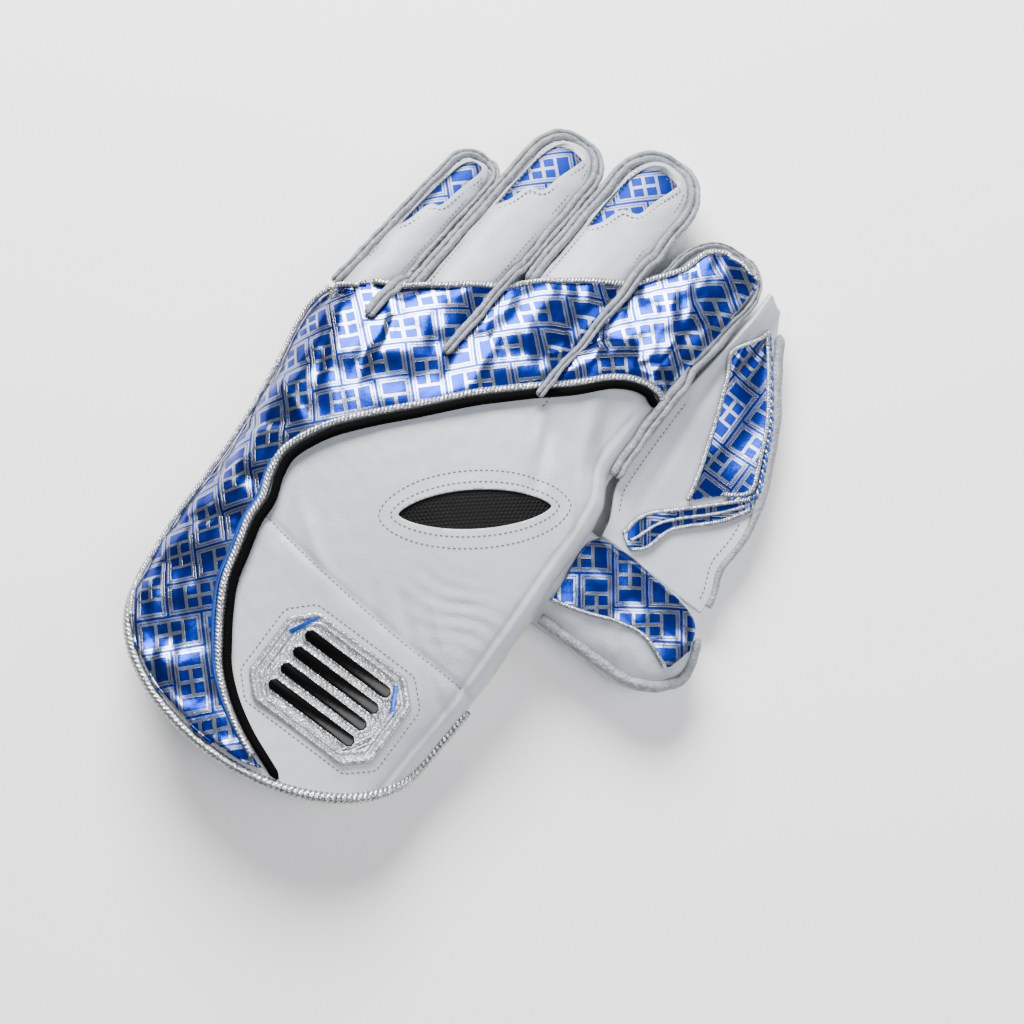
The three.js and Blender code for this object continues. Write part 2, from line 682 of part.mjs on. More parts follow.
// The rolled leather round a finger: up its left side from the band, round the tip, and down its
// right side to the end of its tail, which crosses the band and the piping
const rimAngle = 0.2 * Math.PI;
const outerRimAngle = 0.1 * Math.PI; // on the index finger's thumb side
function makeRim(finger) {
  const grow = rimRadius + rimSeat;
  const reach = finger.tip * fingerReach;
  const { roundFrom } = stallAt(finger, reach);
  const isOuter = finger.name === 'index';
  const onTop = (p) => {
    const covered = nearBand(p, rimRadius * 5);
    if (isOuter && p.y < frontAt(p.x) + rimRadius * 6) {
      const hand = handAt(p.y);
      return p.setX(Math.max(p.x, hand.middle + hand.reach + grow + rimSeat));
    }
    if (isOuter || (!covered && p.y > frontAt(p.x))) return p;
    const piping = nearPiping(p) ? 2 * pipingRadius - printLeather : 0;
    const band = covered ? bandLift + printLeather : 0;
    const lowest = underBand(p.x, p.y) + band + piping + grow + rimSeat * 1.6;
    return p.setZ(Math.max(p.z, lowest));
  };
  const rightAngle = isOuter ? outerRimAngle : rimAngle;
  const side = (angle, from, count) => Array.from({ length: count }, (_, i) => (
    stallPoint(finger, THREE.MathUtils.lerp(from, roundFrom, i / count), angle, grow)));
  const tip = Array.from({ length: 9 }, (_, i) => {
    const turn = Math.PI * (i / 8);
    const y = roundFrom + (reach - roundFrom + grow) * Math.sin(turn) * 0.995;
    return stallPoint(finger, y, turn < Math.PI / 2 ? Math.PI - rimAngle : rightAngle, grow);
  });
  const left = side(Math.PI - rimAngle, bandTopAt(finger), 5);
  const right = side(rightAngle, finger.tail * fingerReach, 15).map(onTop);
  return cord([...left, ...tip, ...right.reverse()], rimRadius, 27);
}

// Where a finger's left side comes out from under the band
function bandTopAt(finger) {
  const edge = bandEdgeCurve.getPoints(200);
  const x = stallPoint(finger, 0, Math.PI - rimAngle).x;
  const top = edge.filter((p) => Math.abs(p.x - x) < half * 0.03).map((p) => p.y);
  return Math.max(frontAt(x), ...top) + rimRadius + frontGap;
}

// Whether a place is on the band or within a margin of its outline
const bandOutline = [...pipingCurve.getPoints(80), ...bandEdgeCurve.getPoints(80).reverse()];
function nearBand(p, margin) {
  let inside = false;
  for (let i = 0, j = bandOutline.length - 1; i < bandOutline.length; j = i, i += 1) {
    const [a, b] = [bandOutline[i], bandOutline[j]];
    if (Math.hypot(a.x - p.x, a.y - p.y) < margin) return true;
    const crosses = (a.y > p.y) !== (b.y > p.y);
    if (crosses && p.x < ((b.x - a.x) * (p.y - a.y)) / (b.y - a.y) + a.x) inside = !inside;
  }
  return inside;
}

const pipingPoints = pipingCurve.getPoints(120);
const nearPiping = (p) => pipingPoints.some((q) => Math.hypot(q.x - p.x, q.y - p.y) < pipingRadius * 4);

// The web between the index finger and the thumb
const indexFinger = fingers.find((finger) => finger.name === 'index');
const webFrom = indexFinger.tip * fingerReach * 0.97;
const webTo = thumbMiddle + thumbWidth / 2;
function webPoint(across, along) {
  const y = THREE.MathUtils.lerp(webFrom, webTo, along);
  const at = stallAt(indexFinger, Math.min(y, webFrom * 0.84));
  const hand = handAt(y);
  const beside = y > frontAt(half) + frontGap ? 0 : hand.middle + hand.reach;
  const rootX = Math.max(at.x + at.wide, beside) + rimRadius * 2 + rimSeat * 4;
  const out = webReach * follow(webRows, 'along', along, 'out');
  const hang = Math.sin(Math.PI * across) * Math.sin(Math.PI * Math.min(1, along * 0.9 + 0.1));
  const edge = tableGap + THREE.MathUtils.lerp(webInnerHeight, webOuterHeight, across);
  return new THREE.Vector3(rootX + out * across, y + clearance * 2, edge - webSag * hang);
}

function makeWeb() {
  const surface = (u, v) => webPoint(1 - u, THREE.MathUtils.lerp(0.03, 1, v));
  return wall(surface, 7, 13, webLeather);
}

function webPatch(outline) {
  const curve = new THREE.SplineCurve(outline.map((row) => new THREE.Vector2(row.across, row.along)));
  const plan = curve.getPoints(Math.round(outline.length * 1.2)).map((p) => {
    const at = webPoint(p.x, p.y);
    return new THREE.Vector2(at.x, at.y);
  });
  const surface = (lift) => (u, v) => {
    const p = webPoint(1 - u, THREE.MathUtils.lerp(0.03, 1, v));
    return p.setZ(p.z + lift);
  };
  const sheet = wall(surface(clearance * 2 + printLeather), 7, 13, printLeather);
  return sheet.intersect(block(plan));
}

function makeWebBinding() {
  const points = [];
  for (let i = 0; i <= 14; i += 1) {
    const along = 0.05 + (0.92 * i) / 14;
    const way = webPoint(1, along + 0.01).sub(webPoint(1, along - 0.01));
    const out = new THREE.Vector3(-way.y, way.x, 0).normalize();
    const p = webPoint(1, along).addScaledVector(out, rimRadius + clearance * 2);
    points.push(p.setZ(p.z - webLeather / 2));
  }
  return cord(points, rimRadius, 20);
}

// Trims along the free edge of the cuff and up the little finger's side of the hand
function makeCuffBinding() {
  const beside = (y, side) => {
    const hand = handAt(y);
    const seam = side > 0 ? hand.rightSeam : hand.leftSeam;
    const x = hand.middle + side * (hand.reach + bindingRadius + clearance);
    return new THREE.Vector3(x, y, seam - backLeather / 2);
  };
  const points = [-cuffCorner * 0.93, -cuffCorner * 0.97].map((y) => beside(y, -1));
  for (let i = 0; i <= 22; i += 1) {
    const a = Math.PI * (0.03 + (0.94 * i) / 22);
    const s = -Math.cos(a);
    const p = backPoint(s, 1);
    const away = new THREE.Vector3(s, -Math.sin(a), 0).normalize();
    p.addScaledVector(away, bindingRadius + clearance);
    points.push(p.setZ(p.z - backLeather / 2));
  }
  points.push(...[0.97, 0.91, 0.85, 0.79].map((share) => beside(-cuffCorner * share, 1)));
  return cord(points, bindingRadius, 34);
}

function makeSideBinding() {
  const points = [];
  for (let i = 0; i <= 16; i += 1) {
    const y = -cuffCorner * (0.02 + (0.88 * i) / 16);
    const hand = handAt(y);
    const x = hand.middle - hand.reach - sideBindingRadius - clearance;
    points.push(new THREE.Vector3(x, y, hand.leftSeam));
  }
  return cord(points, sideBindingRadius, 18);
}

// The rubber facing under the palm, fingers and thumb, in one piece
function makeFacing() {
  const heel = cuffCorner - palmCuffShort / 2;
  const inset = palmWidth * 0.07;
  const sideOf = (y, side) => handAt(y).middle + side * (handAt(y).reach - inset);
  const places = [0, 0.2, 0.4, 0.6, 0.8, 0.93, 1].map((share) => -heel * share);
  const shrink = (i) => (i === places.length - 1 ? 0.86 : 1);
  const rightSide = places.map((y, i) => new THREE.Vector2(sideOf(y, 1) * shrink(i), y));
  const leftSide = places.map((y, i) => new THREE.Vector2(sideOf(y, -1) * shrink(i), y));
  const front = [-0.8, -0.5, 0, 0.25, 0.5, 0.75, 0.84].map((share) => (
    new THREE.Vector2(half * share, frontAt(half * share) + frontGap)));
  let plan = block([...rightSide, ...leftSide.reverse(), ...front]);
  for (const finger of fingers) {
    const reach = finger.tip * fingerReach;
    const root = stallAt(finger, 0);
    const tip = stallAt(finger, reach * 0.6);
    const outline = [new THREE.Vector2(root.x - root.wide * 0.8, -windowLength * 0.2)];
    for (let i = 0; i <= 6; i += 1) {
      const a = Math.PI * (1 - i / 6);
      const x = tip.x + tip.wide * 0.8 * Math.cos(a);
      outline.push(new THREE.Vector2(x, reach - tip.wide + tip.wide * 0.75 * Math.sin(a)));
    }
    outline.push(new THREE.Vector2(root.x + root.wide * 0.8, -windowLength * 0.2));
    plan = plan.add(block(outline));
  }
  const thumb = [new THREE.Vector2(thumbRoot * 0.6, thumbMiddle - thumbWidth * 0.4)];
  for (let i = 0; i <= 6; i += 1) {
    const a = Math.PI * (i / 6 - 0.5);
    const x = thumbReach + thumbLength - thumbWidth * (0.5 - 0.36 * Math.cos(a));
    thumb.push(new THREE.Vector2(x, thumbMiddle + thumbWidth * 0.4 * Math.sin(a)));
  }
  thumb.push(new THREE.Vector2(thumbRoot * 0.6, thumbMiddle + thumbWidth * 0.4));
  plan = plan.add(block(thumb));
  const far = thumbReach + thumbLength + half;
  const sheet = slab(-far, far, -heel, fingerReach, 1, 16, () => 0, () => facingRubber);
  return sheet.intersect(plan);
}

// Pieces that lie on the back, between a lift over the leather and their own thickness. The
// sheet that they are cut from covers a plan outline, so that pieces on each other share facets.
function onBack(outline, lift, thickness, cells, covered = outline) {
  const xs = covered.map((p) => p.x);
  const ys = covered.map((p) => p.y);
  const [x0, x1, y0, y1] = [Math.min(...xs), Math.max(...xs), Math.min(...ys), Math.max(...ys)];
  const sheet = slab(x0 - 1, x1 + 1, y0 - 1, y1 + 1, cells, cells,
    (x, y) => backTop(x, y) + lift, (x, y) => backTop(x, y) + lift + thickness);
  return sheet.intersect(block(outline));
}

// The black mesh vent, a plain leaf shape that runs parallel to the band
const ventCentre = new THREE.Vector2(half * 0.47, -handLength * 0.26);
const ventTurn = THREE.MathUtils.degToRad(41);
function ventPlan() {
  const count = 7;
  const side = (way) => Array.from({ length: count }, (_, i) => {
    const t = i / count;
    const x = way * ventLength * (0.5 - t);
    const y = -way * (ventWidth / 2) * Math.sin(Math.PI * t) ** 1.3;
    return new THREE.Vector2(x, y).rotateAround(new THREE.Vector2(), ventTurn).add(ventCentre);
  });
  return [...side(1), ...side(-1)];
}

const makeVent = () => onBack(ventPlan(), -backLeather * 0.75, ventThickness, 4);

// The moulded badge plate near the cuff's end, plain but for a row of raised bars. Corners are
// shares of half its width and half its depth.
const badgeCentre = new THREE.Vector2(half * 0.42, -handLength * 0.75);
const badgeCorners = [[-0.72, -1], [0.72, -1], [1, -0.62], [1, 0.62], [0.72, 1], [-0.72, 1],
  [-1, 0.62], [-1, -0.62]];
const badgePlan = badgeCorners.map(([x, y]) => new THREE.Vector2(
  badgeCentre.x + (badgeWidth / 2) * x, badgeCentre.y + (badgeDepth / 2) * y));

const makeBadge = () => onBack(badgePlan, clearance * 2, badgeThickness, badgeCells, badgePlan);

function makeBadgeBar(index) {
  const y = badgeCentre.y + badgeBarPitch * (index - (badgeBars - 1) / 2);
  const outline = [[-1, -0.4], [-0.92, -1], [0.92, -1], [1, -0.4], [1, 0.4], [0.92, 1], [-0.92, 1],
    [-1, 0.4]].map(([a, b]) => new THREE.Vector2(
    badgeCentre.x + (badgeBarLength / 2) * a, y + (badgeBarDepth / 2) * b));
  return onBack(outline, badgeThickness + clearance * 3, badgeBarHeight, badgeCells, badgePlan);
}

// The finished pieces
const glove = new THREE.Group();
function place(name, solid, material) {
  const mesh = solid.getMesh();
  const count = mesh.numVert;
  const positions = new Float32Array(count * 3);
  for (let i = 0; i < count; i += 1) {
    positions.set(mesh.vertProperties.subarray(i * mesh.numProp, i * mesh.numProp + 3), i * 3);
  }
  const geometry = new THREE.BufferGeometry();
  geometry.setAttribute('position', new THREE.BufferAttribute(positions, 3));
  geometry.setIndex(new THREE.BufferAttribute(new Uint32Array(mesh.triVerts), 1));
  geometry.computeVertexNormals();
  const made = new THREE.Mesh(geometry, material);
  made.name = name;
  glove.add(made);
}

const thumbSpace = thumbBody(clearance, thumbRoot - clearance);
const ventHole = block(ventPlan(), clearance);
place('back_panel', makeBack().subtract(ventHole).subtract(thumbSpace), leather);
place('palm', makePalm().subtract(thumbSpace), innerLeather);
place('palm_facing', makeFacing(), rubber);
place('print_band', makeBand(), print);
place('band_piping', makePiping(), black);
place('cuff_binding', makeCuffBinding(), silver);
place('side_binding', makeSideBinding(), silver);
for (const finger of fingers) {
  place(`${finger.name}_finger`, makeStall(finger), leather);
  place(`${finger.name}_rim`, makeRim(finger), leather);
  if (finger.name !== 'index') place(`${finger.name}_insert`, makeInsert(finger), print);
}
place('thumb', makeThumb(), leather);
place('thumb_print', makeThumbPrint(), print);
place('thumb_rim', makeThumbRim(), leather);
place('web', makeWeb().subtract(thumbSpace), leather);
place('web_print', webPatch(webPrintOutline), print);
place('web_strip', webPatch(webStripOutline), print);
place('web_binding', makeWebBinding(), leather);
place('mesh_vent', makeVent(), black);
place('badge', makeBadge(), clearPlastic);
for (let i = 0; i < badgeBars; i += 1) place(`badge_bar_${i + 1}`, makeBadgeBar(i), black);

// The origin goes under the middle of the outline, at the level of the table
const box = new THREE.Box3().setFromObject(glove);
glove.position.set(-(box.min.x + box.max.x) / 2, -(box.min.y + box.max.y) / 2, -box.min.z);

export default glove;
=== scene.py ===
import bpy
import json
import math
import numpy as np
from mathutils import Matrix, Vector

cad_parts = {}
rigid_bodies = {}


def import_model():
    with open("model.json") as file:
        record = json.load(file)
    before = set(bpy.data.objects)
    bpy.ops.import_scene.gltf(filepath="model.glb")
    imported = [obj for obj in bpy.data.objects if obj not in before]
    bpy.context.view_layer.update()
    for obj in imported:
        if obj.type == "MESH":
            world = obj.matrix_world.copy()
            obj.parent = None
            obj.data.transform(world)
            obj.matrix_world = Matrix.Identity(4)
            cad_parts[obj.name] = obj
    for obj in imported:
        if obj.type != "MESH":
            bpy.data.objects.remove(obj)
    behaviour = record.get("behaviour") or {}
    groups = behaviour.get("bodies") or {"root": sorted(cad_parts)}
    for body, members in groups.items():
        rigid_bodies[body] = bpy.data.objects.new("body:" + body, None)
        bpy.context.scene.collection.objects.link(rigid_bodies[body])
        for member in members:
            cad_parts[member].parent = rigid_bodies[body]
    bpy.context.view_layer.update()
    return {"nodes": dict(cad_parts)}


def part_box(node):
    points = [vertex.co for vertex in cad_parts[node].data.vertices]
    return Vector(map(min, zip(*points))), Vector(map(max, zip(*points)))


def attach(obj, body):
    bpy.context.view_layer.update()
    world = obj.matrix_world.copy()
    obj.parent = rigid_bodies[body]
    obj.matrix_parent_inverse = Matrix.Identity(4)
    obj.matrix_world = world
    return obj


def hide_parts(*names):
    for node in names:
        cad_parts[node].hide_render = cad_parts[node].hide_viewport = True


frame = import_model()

# A left-hand wicketkeeping glove lying palm down. Shapes are worked out in millimetres with
# y = 0 on the knuckle line, the same way as the solids are, and moved to the row frame at the end.
glove = {
    "palmWidth": 152.0,
    "handLength": 190.0,
    "cuffRound": 44.0,
    "palmCuffShort": 27.0,
    "palmCuffRound": 24.0,
    "backHeight": 54.0,
    "fingerReach": 131.0,
    "tipHeight": 24.0,
    "thumbReach": 76.0,
    "thumbLength": 65.0,
    "thumbWidth": 44.0,
    "thumbHeight": 32.0,
    "webReach": 55.0,
    "webInnerHeight": 22.0,
    "webOuterHeight": 10.0,
    "webSag": 6.0,
    "archHeight": 5.0,
    "cuffLift": 4.0,
    "tableGap": 1.9,
    "backRoundness": 2.4,
    "stallRoundness": 2.5,
    "stallGap": 0.9,  # taken off each side of a finger
    "rootGap": 1.8,  # between the back's front edge and the fingers
    "thumbDown": 0.235,  # the thumb's middle line below the knuckles, in hand lengths
}
half = glove["palmWidth"] / 2
handLength = glove["handLength"]
fingerReach = glove["fingerReach"]
cuffCorner = handLength - glove["cuffRound"]
tableGap = glove["tableGap"]

# along the hand, left side, right side, crown, left seam, right seam
handSections = np.array([
    (-0.38, -0.98, 0.89, 0.72, 0.34, 0.36),
    (0.0, -1.0, 0.9, 0.84, 0.36, 0.46),
    (0.12, -0.99, 0.99, 0.91, 0.35, 0.6),
    (0.4, -0.89, 1.025, 1.0, 0.33, 0.7),
    (0.6, -0.855, 1.035, 0.97, 0.32, 0.64),
    (0.8, -0.845, 1.035, 0.9, 0.34, 0.5),
    (1.0, -0.81, 1.01, 0.84, 0.38, 0.42),
    (1.3, -0.81, 1.01, 0.78, 0.42, 0.42),
])

# across the hand, how far ahead of the knuckle line the back ends
frontLine = np.array([
    (-1.1, -0.035), (-0.66, -0.02), (-0.44, 0.0), (0.0, 0.0), (0.2, 0.035),
    (0.42, 0.12), (0.63, 0.21), (0.79, 0.245), (1.1, 0.25),
])

# places and widths in half palm widths, tip and tail in finger reaches, weltWidth and tailWidth (half
# widths of the folded strip beside the stall and over the band) in millimetres
fingers = {
    "little": {"root": -0.815, "tipAt": -0.776, "width": 0.17, "tipWidth": 0.145, "tip": 0.635,
               "tail": -0.07, "weltWidth": 2.1, "tailWidth": 2.5},
    "ring": {"root": -0.388, "tipAt": -0.39, "width": 0.229, "tipWidth": 0.222, "tip": 0.88,
             "tail": -0.03, "weltWidth": 2.5, "tailWidth": 2.0},
    "middle": {"root": 0.132, "tipAt": 0.12, "width": 0.27, "tipWidth": 0.262, "tip": 1.0,
               "tail": 0.03, "weltWidth": 2.7, "tailWidth": 1.6},
    "index": {"root": 0.645, "tipAt": 0.725, "width": 0.246, "tipWidth": 0.268, "tip": 0.87,
              "tail": 0.0, "weltWidth": 3.1, "tailWidth": 2.7},
}
stallSections = np.array([(0.0, 0.0), (0.4, 0.42), (0.75, 0.8), (1.0, 1.0)])

# the piping's side and the outer edge of the printed band, x in half palm widths, y in hand lengths
bandRows = np.array([
    (0.39, -0.972, 0.282, -0.985), (0.21, -0.943, 0.055, -0.988), (0.04, -0.905, -0.171, -0.976),
    (-0.105, -0.858, -0.374, -0.953), (-0.21, -0.805, -0.553, -0.916), (-0.3, -0.753, -0.689, -0.868),
    (-0.38, -0.695, -0.764, -0.81), (-0.43, -0.626, -0.797, -0.735), (-0.475, -0.56, -0.822, -0.64),
    (-0.485, -0.505, -0.832, -0.53), (-0.535, -0.45, -0.848, -0.4), (-0.545, -0.39, -0.89, -0.25),
    (-0.45, -0.31, -0.96, -0.08), (-0.3, -0.235, -0.84, 0.0), (-0.12, -0.155, -0.52, 0.075),
    (0.08, -0.06, -0.26, 0.17), (0.28, 0.025, 0.0, 0.255), (0.46, 0.095, 0.24, 0.34),
    (0.6, 0.162, 0.42, 0.41), (0.72, 0.197, 0.545, 0.475), (0.82, 0.208, 0.6, 0.55),
    (0.875, 0.205, 0.77, 0.578), (0.885, 0.25, 0.895, 0.555),
])
webRows = np.array([
    (0.0, 0.06), (0.09, 0.17), (0.22, 0.38), (0.35, 0.62), (0.47, 0.79), (0.6, 0.93),
    (0.73, 1.0), (0.87, 0.96), (1.0, 0.93),
])


def follow(rows, place, column):
    # smooth curve through the rows of a table, read at many places at once
    keys, values = rows[:, 0], rows[:, column]
    at = np.clip(place, keys[0], keys[-1])
    slopes = np.empty(len(keys))
    slopes[1:-1] = (values[2:] - values[:-2]) / (keys[2:] - keys[:-2])
    slopes[0] = (values[1] - values[0]) / (keys[1] - keys[0])
    slopes[-1] = (values[-1] - values[-2]) / (keys[-1] - keys[-2])
    i = np.clip(np.searchsorted(keys, at, side="right") - 1, 0, len(keys) - 2)
    step = keys[i + 1] - keys[i]
    t = (at - keys[i]) / step
    return ((2 * t**3 - 3 * t**2 + 1) * values[i] + (t**3 - 2 * t**2 + t) * step * slopes[i]
            + (3 * t**2 - 2 * t**3) * values[i + 1] + (t**3 - t**2) * step * slopes[i + 1])


def mix(a, b, t):
    return a + (b - a) * t


def ease(x, low, high):
    t = np.clip((x - low) / (high - low), 0, 1)
    return t * t * (3 - 2 * t)


def handAt(y):
    place = -y / cuffCorner
    left, right = half * follow(handSections, place, 1), half * follow(handSections, place, 2)
    crown, leftSeam, rightSeam = (glove["backHeight"] * follow(handSections, place, c) for c in (3, 4, 5))
    return (left + right) / 2, (right - left) / 2, crown, leftSeam, rightSeam


def backTop(x, y):
    middle, reach, crown, leftSeam, rightSeam = handAt(y)
    s = np.clip((x - middle) / reach, -1, 1)
    seam = mix(leftSeam, rightSeam, (s + 1) / 2)
    power = glove["backRoundness"]
    return seam + (crown - seam) * (1 - np.abs(s) ** power) ** (1 / power)


def frontAt(x):
    return handLength * follow(frontLine, x / half, 1)


def arch(y):
    heelFront, heelBack = -handLength * 0.5, -handLength * 0.7
    cuff = glove["cuffLift"] * (np.clip(heelBack - y, 0, None) / (handLength + heelBack)) ** 2
    span = np.sin(np.pi * np.clip((y - heelFront) / (fingerReach - heelFront), 0, 1))
    return cuff + glove["archHeight"] * span * span


def stallAt(name, y, grow=0.0):
    f = fingers[name]
    reach = f["tip"] * fingerReach
    rootX = half * f["root"]
    rootY = frontAt(np.array(rootX))
    place = np.clip((y - rootY) / (reach - rootY), 0, 1)
    wide = half * mix(f["width"], f["tipWidth"], place) - glove["stallGap"]
    rise = follow(stallSections, place, 1)
    top = mix(backTop(np.array(rootX), rootY), tableGap + glove["tipHeight"], rise)
    middle = (tableGap + top) / 2
    past = np.clip((y - (reach - wide)) / (wide + grow), 0, 1)
    return {
        "x": half * mix(f["root"], f["tipAt"], place),
        "z": middle,
        "wide": (wide + grow) * np.sqrt(1 - past * past),
        "high": (top - middle + grow) * (1 - past**3) ** (1 / 3),
        "roundFrom": reach - wide,
    }


def roundSection(angle, top=2.5, base=4.0):
    # superellipse: rounder over the back, flatter on the palm's side
    c, s = np.cos(angle), np.sin(angle)
    power = np.where(s >= 0, 2 / top, 2 / base)
    return np.sign(c) * np.abs(c) ** power, np.sign(s) * np.abs(s) ** power


def stallPoint(name, y, angle, grow=0.0):
    at = stallAt(name, y, grow)
    across, up = roundSection(angle)
    return np.stack([at["x"] + at["wide"] * across, y + 0 * across, at["z"] + at["high"] * up], -1)


def stallBump(share):
    # height over a finger, 1 along its middle and 0 at its side
    power = glove["stallRoundness"]
    return (1 - np.clip(share, 0, 1) ** power) ** (1 / power)


def stallTop(name, x, y):
    f = fingers[name]
    at = stallAt(name, np.minimum(y, f["tip"] * fingerReach - f["width"] * half * 0.3))
    share = np.abs(x - at["x"]) / at["wide"]
    return np.where(share < 1, at["z"] + at["high"] * stallBump(share), 0)


def overStalls(x, y):
    # a sheet over the four stalls that dips between them
    names = list(fingers)
    at = [stallAt(n, np.minimum(y, fingers[n]["tip"] * fingerReach - 4)) for n in names]
    out = np.zeros(np.broadcast(x, y).shape)
    for i in range(3):
        a, b = at[i], at[i + 1]
        t = (x - a["x"]) / (b["x"] - a["x"])
        height = mix(a["z"] + a["high"], b["z"] + b["high"], ease(t, 0, 1)) - 4 * np.sin(np.pi * t) ** 4
        out = np.where((t >= 0) & (t < 1), height, out)
    for a, outside in ((at[0], x < at[0]["x"]), (at[3], x >= at[3]["x"])):
        bump = stallBump(np.abs(x - a["x"]) / a["wide"])
        out = np.where(outside, a["z"] + a["high"] * bump, out)
    return out


def underBand(x, y):
    # the leather that the printed band lies on
    ahead = y - frontAt(x)
    share = ease(ahead, glove["palmWidth"] * 0.02, glove["palmWidth"] * 0.11)
    sheet = mix(backTop(x, y), overStalls(x, y), share)
    tops = np.max([stallTop(n, x, y) for n in fingers], axis=0)
    return np.where(ahead <= 0, backTop(x, y), np.maximum(sheet, tops))


def bandCurve(t, firstColumn):
    rows = np.column_stack([np.arange(len(bandRows)), bandRows])
    place = t * (len(bandRows) - 1)
    return half * follow(rows, place, firstColumn), handLength * follow(rows, place, firstColumn + 1)


def lifted(height, x, y, lift, step):
    # points over a rolling surface, lifted off it along its slope
    slopeX = (height(x - step, y) - height(x + step, y)) / (2 * step)
    slopeY = (height(x, y - step) - height(x, y + step)) / (2 * step)
    size = np.sqrt(slopeX**2 + slopeY**2 + 1)
    return np.stack([x + lift * slopeX / size, y + lift * slopeY / size, height(x, y) + lift / size], -1)


def bandPoint(u, t, lift):
    # u from the outer edge to the piping, t along the band from the cuff
    px, py = bandCurve(t, 1)
    ex, ey = bandCurve(t, 3)
    share = np.cos(np.pi / 2 * u)
    return lifted(underBand, mix(px, ex, share), mix(py, ey, share), lift, 0.3)


thumbMiddle = -handLength * glove["thumbDown"]
thumbEnd = glove["thumbReach"] + glove["thumbLength"]
thumbRoot = glove["thumbReach"] - glove["thumbWidth"] * 0.25


def thumbPoint(x, angle, grow=0.0):
    share = np.clip((x - glove["thumbReach"]) / glove["thumbLength"], 0, 1)
    roundFrom = thumbEnd - glove["thumbWidth"] * 0.5
    past = np.clip((x - roundFrom) / (thumbEnd + grow - roundFrom), 0, 1)
    top = tableGap + glove["thumbHeight"] * (1 - 0.16 * share)
    middle = (tableGap + top) / 2
    across, up = roundSection(angle)
    wide = (glove["thumbWidth"] / 2 + grow) * np.sqrt(1 - past * past)
    high = (top - middle + grow) * (1 - past**3) ** (1 / 3)
    return np.stack([x + 0 * across, thumbMiddle - wide * across, middle + high * up], -1)


webFrom = fingers["index"]["tip"] * fingerReach * 0.97
webTo = thumbMiddle + glove["thumbWidth"] / 2


def webPoint(across, along):
    y = mix(webFrom, webTo, along)
    at = stallAt("index", np.minimum(y, webFrom * 0.84))
    middle, reach = handAt(y)[:2]
    beside = np.where(y > frontAt(np.array(half)) + glove["rootGap"], 0, middle + reach)
    rootX = np.maximum(at["x"] + at["wide"], beside) + 5.0
    out = glove["webReach"] * follow(webRows, along, 1)
    hang = np.sin(np.pi * across) * np.sin(np.pi * np.minimum(1, along * 0.9 + 0.1))
    edge = tableGap + mix(glove["webInnerHeight"], glove["webOuterHeight"], across)
    return np.stack([rootX + out * across, y + 0.6 + 0 * across, edge - glove["webSag"] * hang], -1)


# from the knuckle line's frame to the row frame, by the badge that both know
lowBadge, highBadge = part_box("badge")
shiftX = (lowBadge[0] + highBadge[0]) * 500 - half * 0.42
shiftY = (lowBadge[1] + highBadge[1]) * 500 + handLength * 0.75


def toRow(points):
    p = np.array(points, float)
    moved = p + [shiftX, shiftY, 0]
    moved[..., 2] += arch(p[..., 1])
    return moved / 1000


def hexColour(value):
    # sRGB hex to linear
    parts = [int(value[i:i + 2], 16) / 255 for i in (1, 3, 5)]
    return tuple(c / 12.92 if c <= 0.04045 else ((c + 0.055) / 1.055) ** 2.4 for c in parts) + (1.0,)


def addNode(tree, kind, settings=(), links=()):
    node = tree.nodes.new(kind)
    for key, value in dict(settings).items():
        if isinstance(key, int) or key in node.inputs:
            node.inputs[key].default_value = value
        else:
            setattr(node, key, value)
    for key, source in dict(links).items():
        tree.links.new(source, node.inputs[key])
    return node


def newMaterial(name, shader):
    material = bpy.data.materials.new(name)
    material.use_nodes = True
    tree = material.node_tree
    tree.nodes.clear()
    surface = addNode(tree, "ShaderNodeBsdfPrincipled", shader)
    addNode(tree, "ShaderNodeOutputMaterial", {}, {"Surface": surface.outputs[0]})
    return material, tree, surface


def newPiece(name, verts, faces, slot, nodes, material, uv=None, smooth=True):
    mesh = bpy.data.meshes.new(name)
    mesh.from_pydata([tuple(v) for v in verts], [], faces)
    mesh.validate()
    mesh.materials.append(material)
    if uv is not None:
        layer = mesh.uv_layers.new(name="laid")
        index = np.empty(len(mesh.loops), dtype=np.int32)
        mesh.loops.foreach_get("vertex_index", index)
        layer.data.foreach_set("uv", (np.array(uv)[index] / 1000).ravel())
    if smooth:
        mesh.shade_smooth()
    piece = bpy.data.objects.new(name, mesh)
    bpy.context.scene.collection.objects.link(piece)
    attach(piece, "root")
    if nodes:
        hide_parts(*nodes)
    return piece


def gridFaces(rows, columns, closed=False, flip=False):
    faces = []
    for j in range(rows - 1):
        for i in range(columns if closed else columns - 1):
            a, b = j * columns + i, j * columns + (i + 1) % columns
            face = (a, b, b + columns, a + columns)
            faces.append(face[::-1] if flip else face)
    return faces


def normalsOf(points):
    # unit normals of a grid of points, rows by columns
    du = np.gradient(points, axis=1)
    dv = np.gradient(points, axis=0)
    n = np.cross(du, dv)
    return n / np.maximum(np.linalg.norm(n, axis=-1, keepdims=True), 1e-9)


def thicken(piece, thickness):
    solid = piece.modifiers.new("thickness", "SOLIDIFY")
    solid.thickness = thickness / 1000
    solid.offset = -1
    solid.use_rim = True


def backAt(x, y):
    # on the creased leather of the back
    return np.stack([x, y, backTop(x, y) + backRelief(x, y)], -1)


def spline(points, count):
    # a smooth curve through a few points
    p = np.array(points, float)
    rows = np.column_stack([np.arange(len(p)), p])
    at = np.linspace(0, len(p) - 1, count)
    return np.column_stack([follow(rows, at, k + 1) for k in range(p.shape[1])])


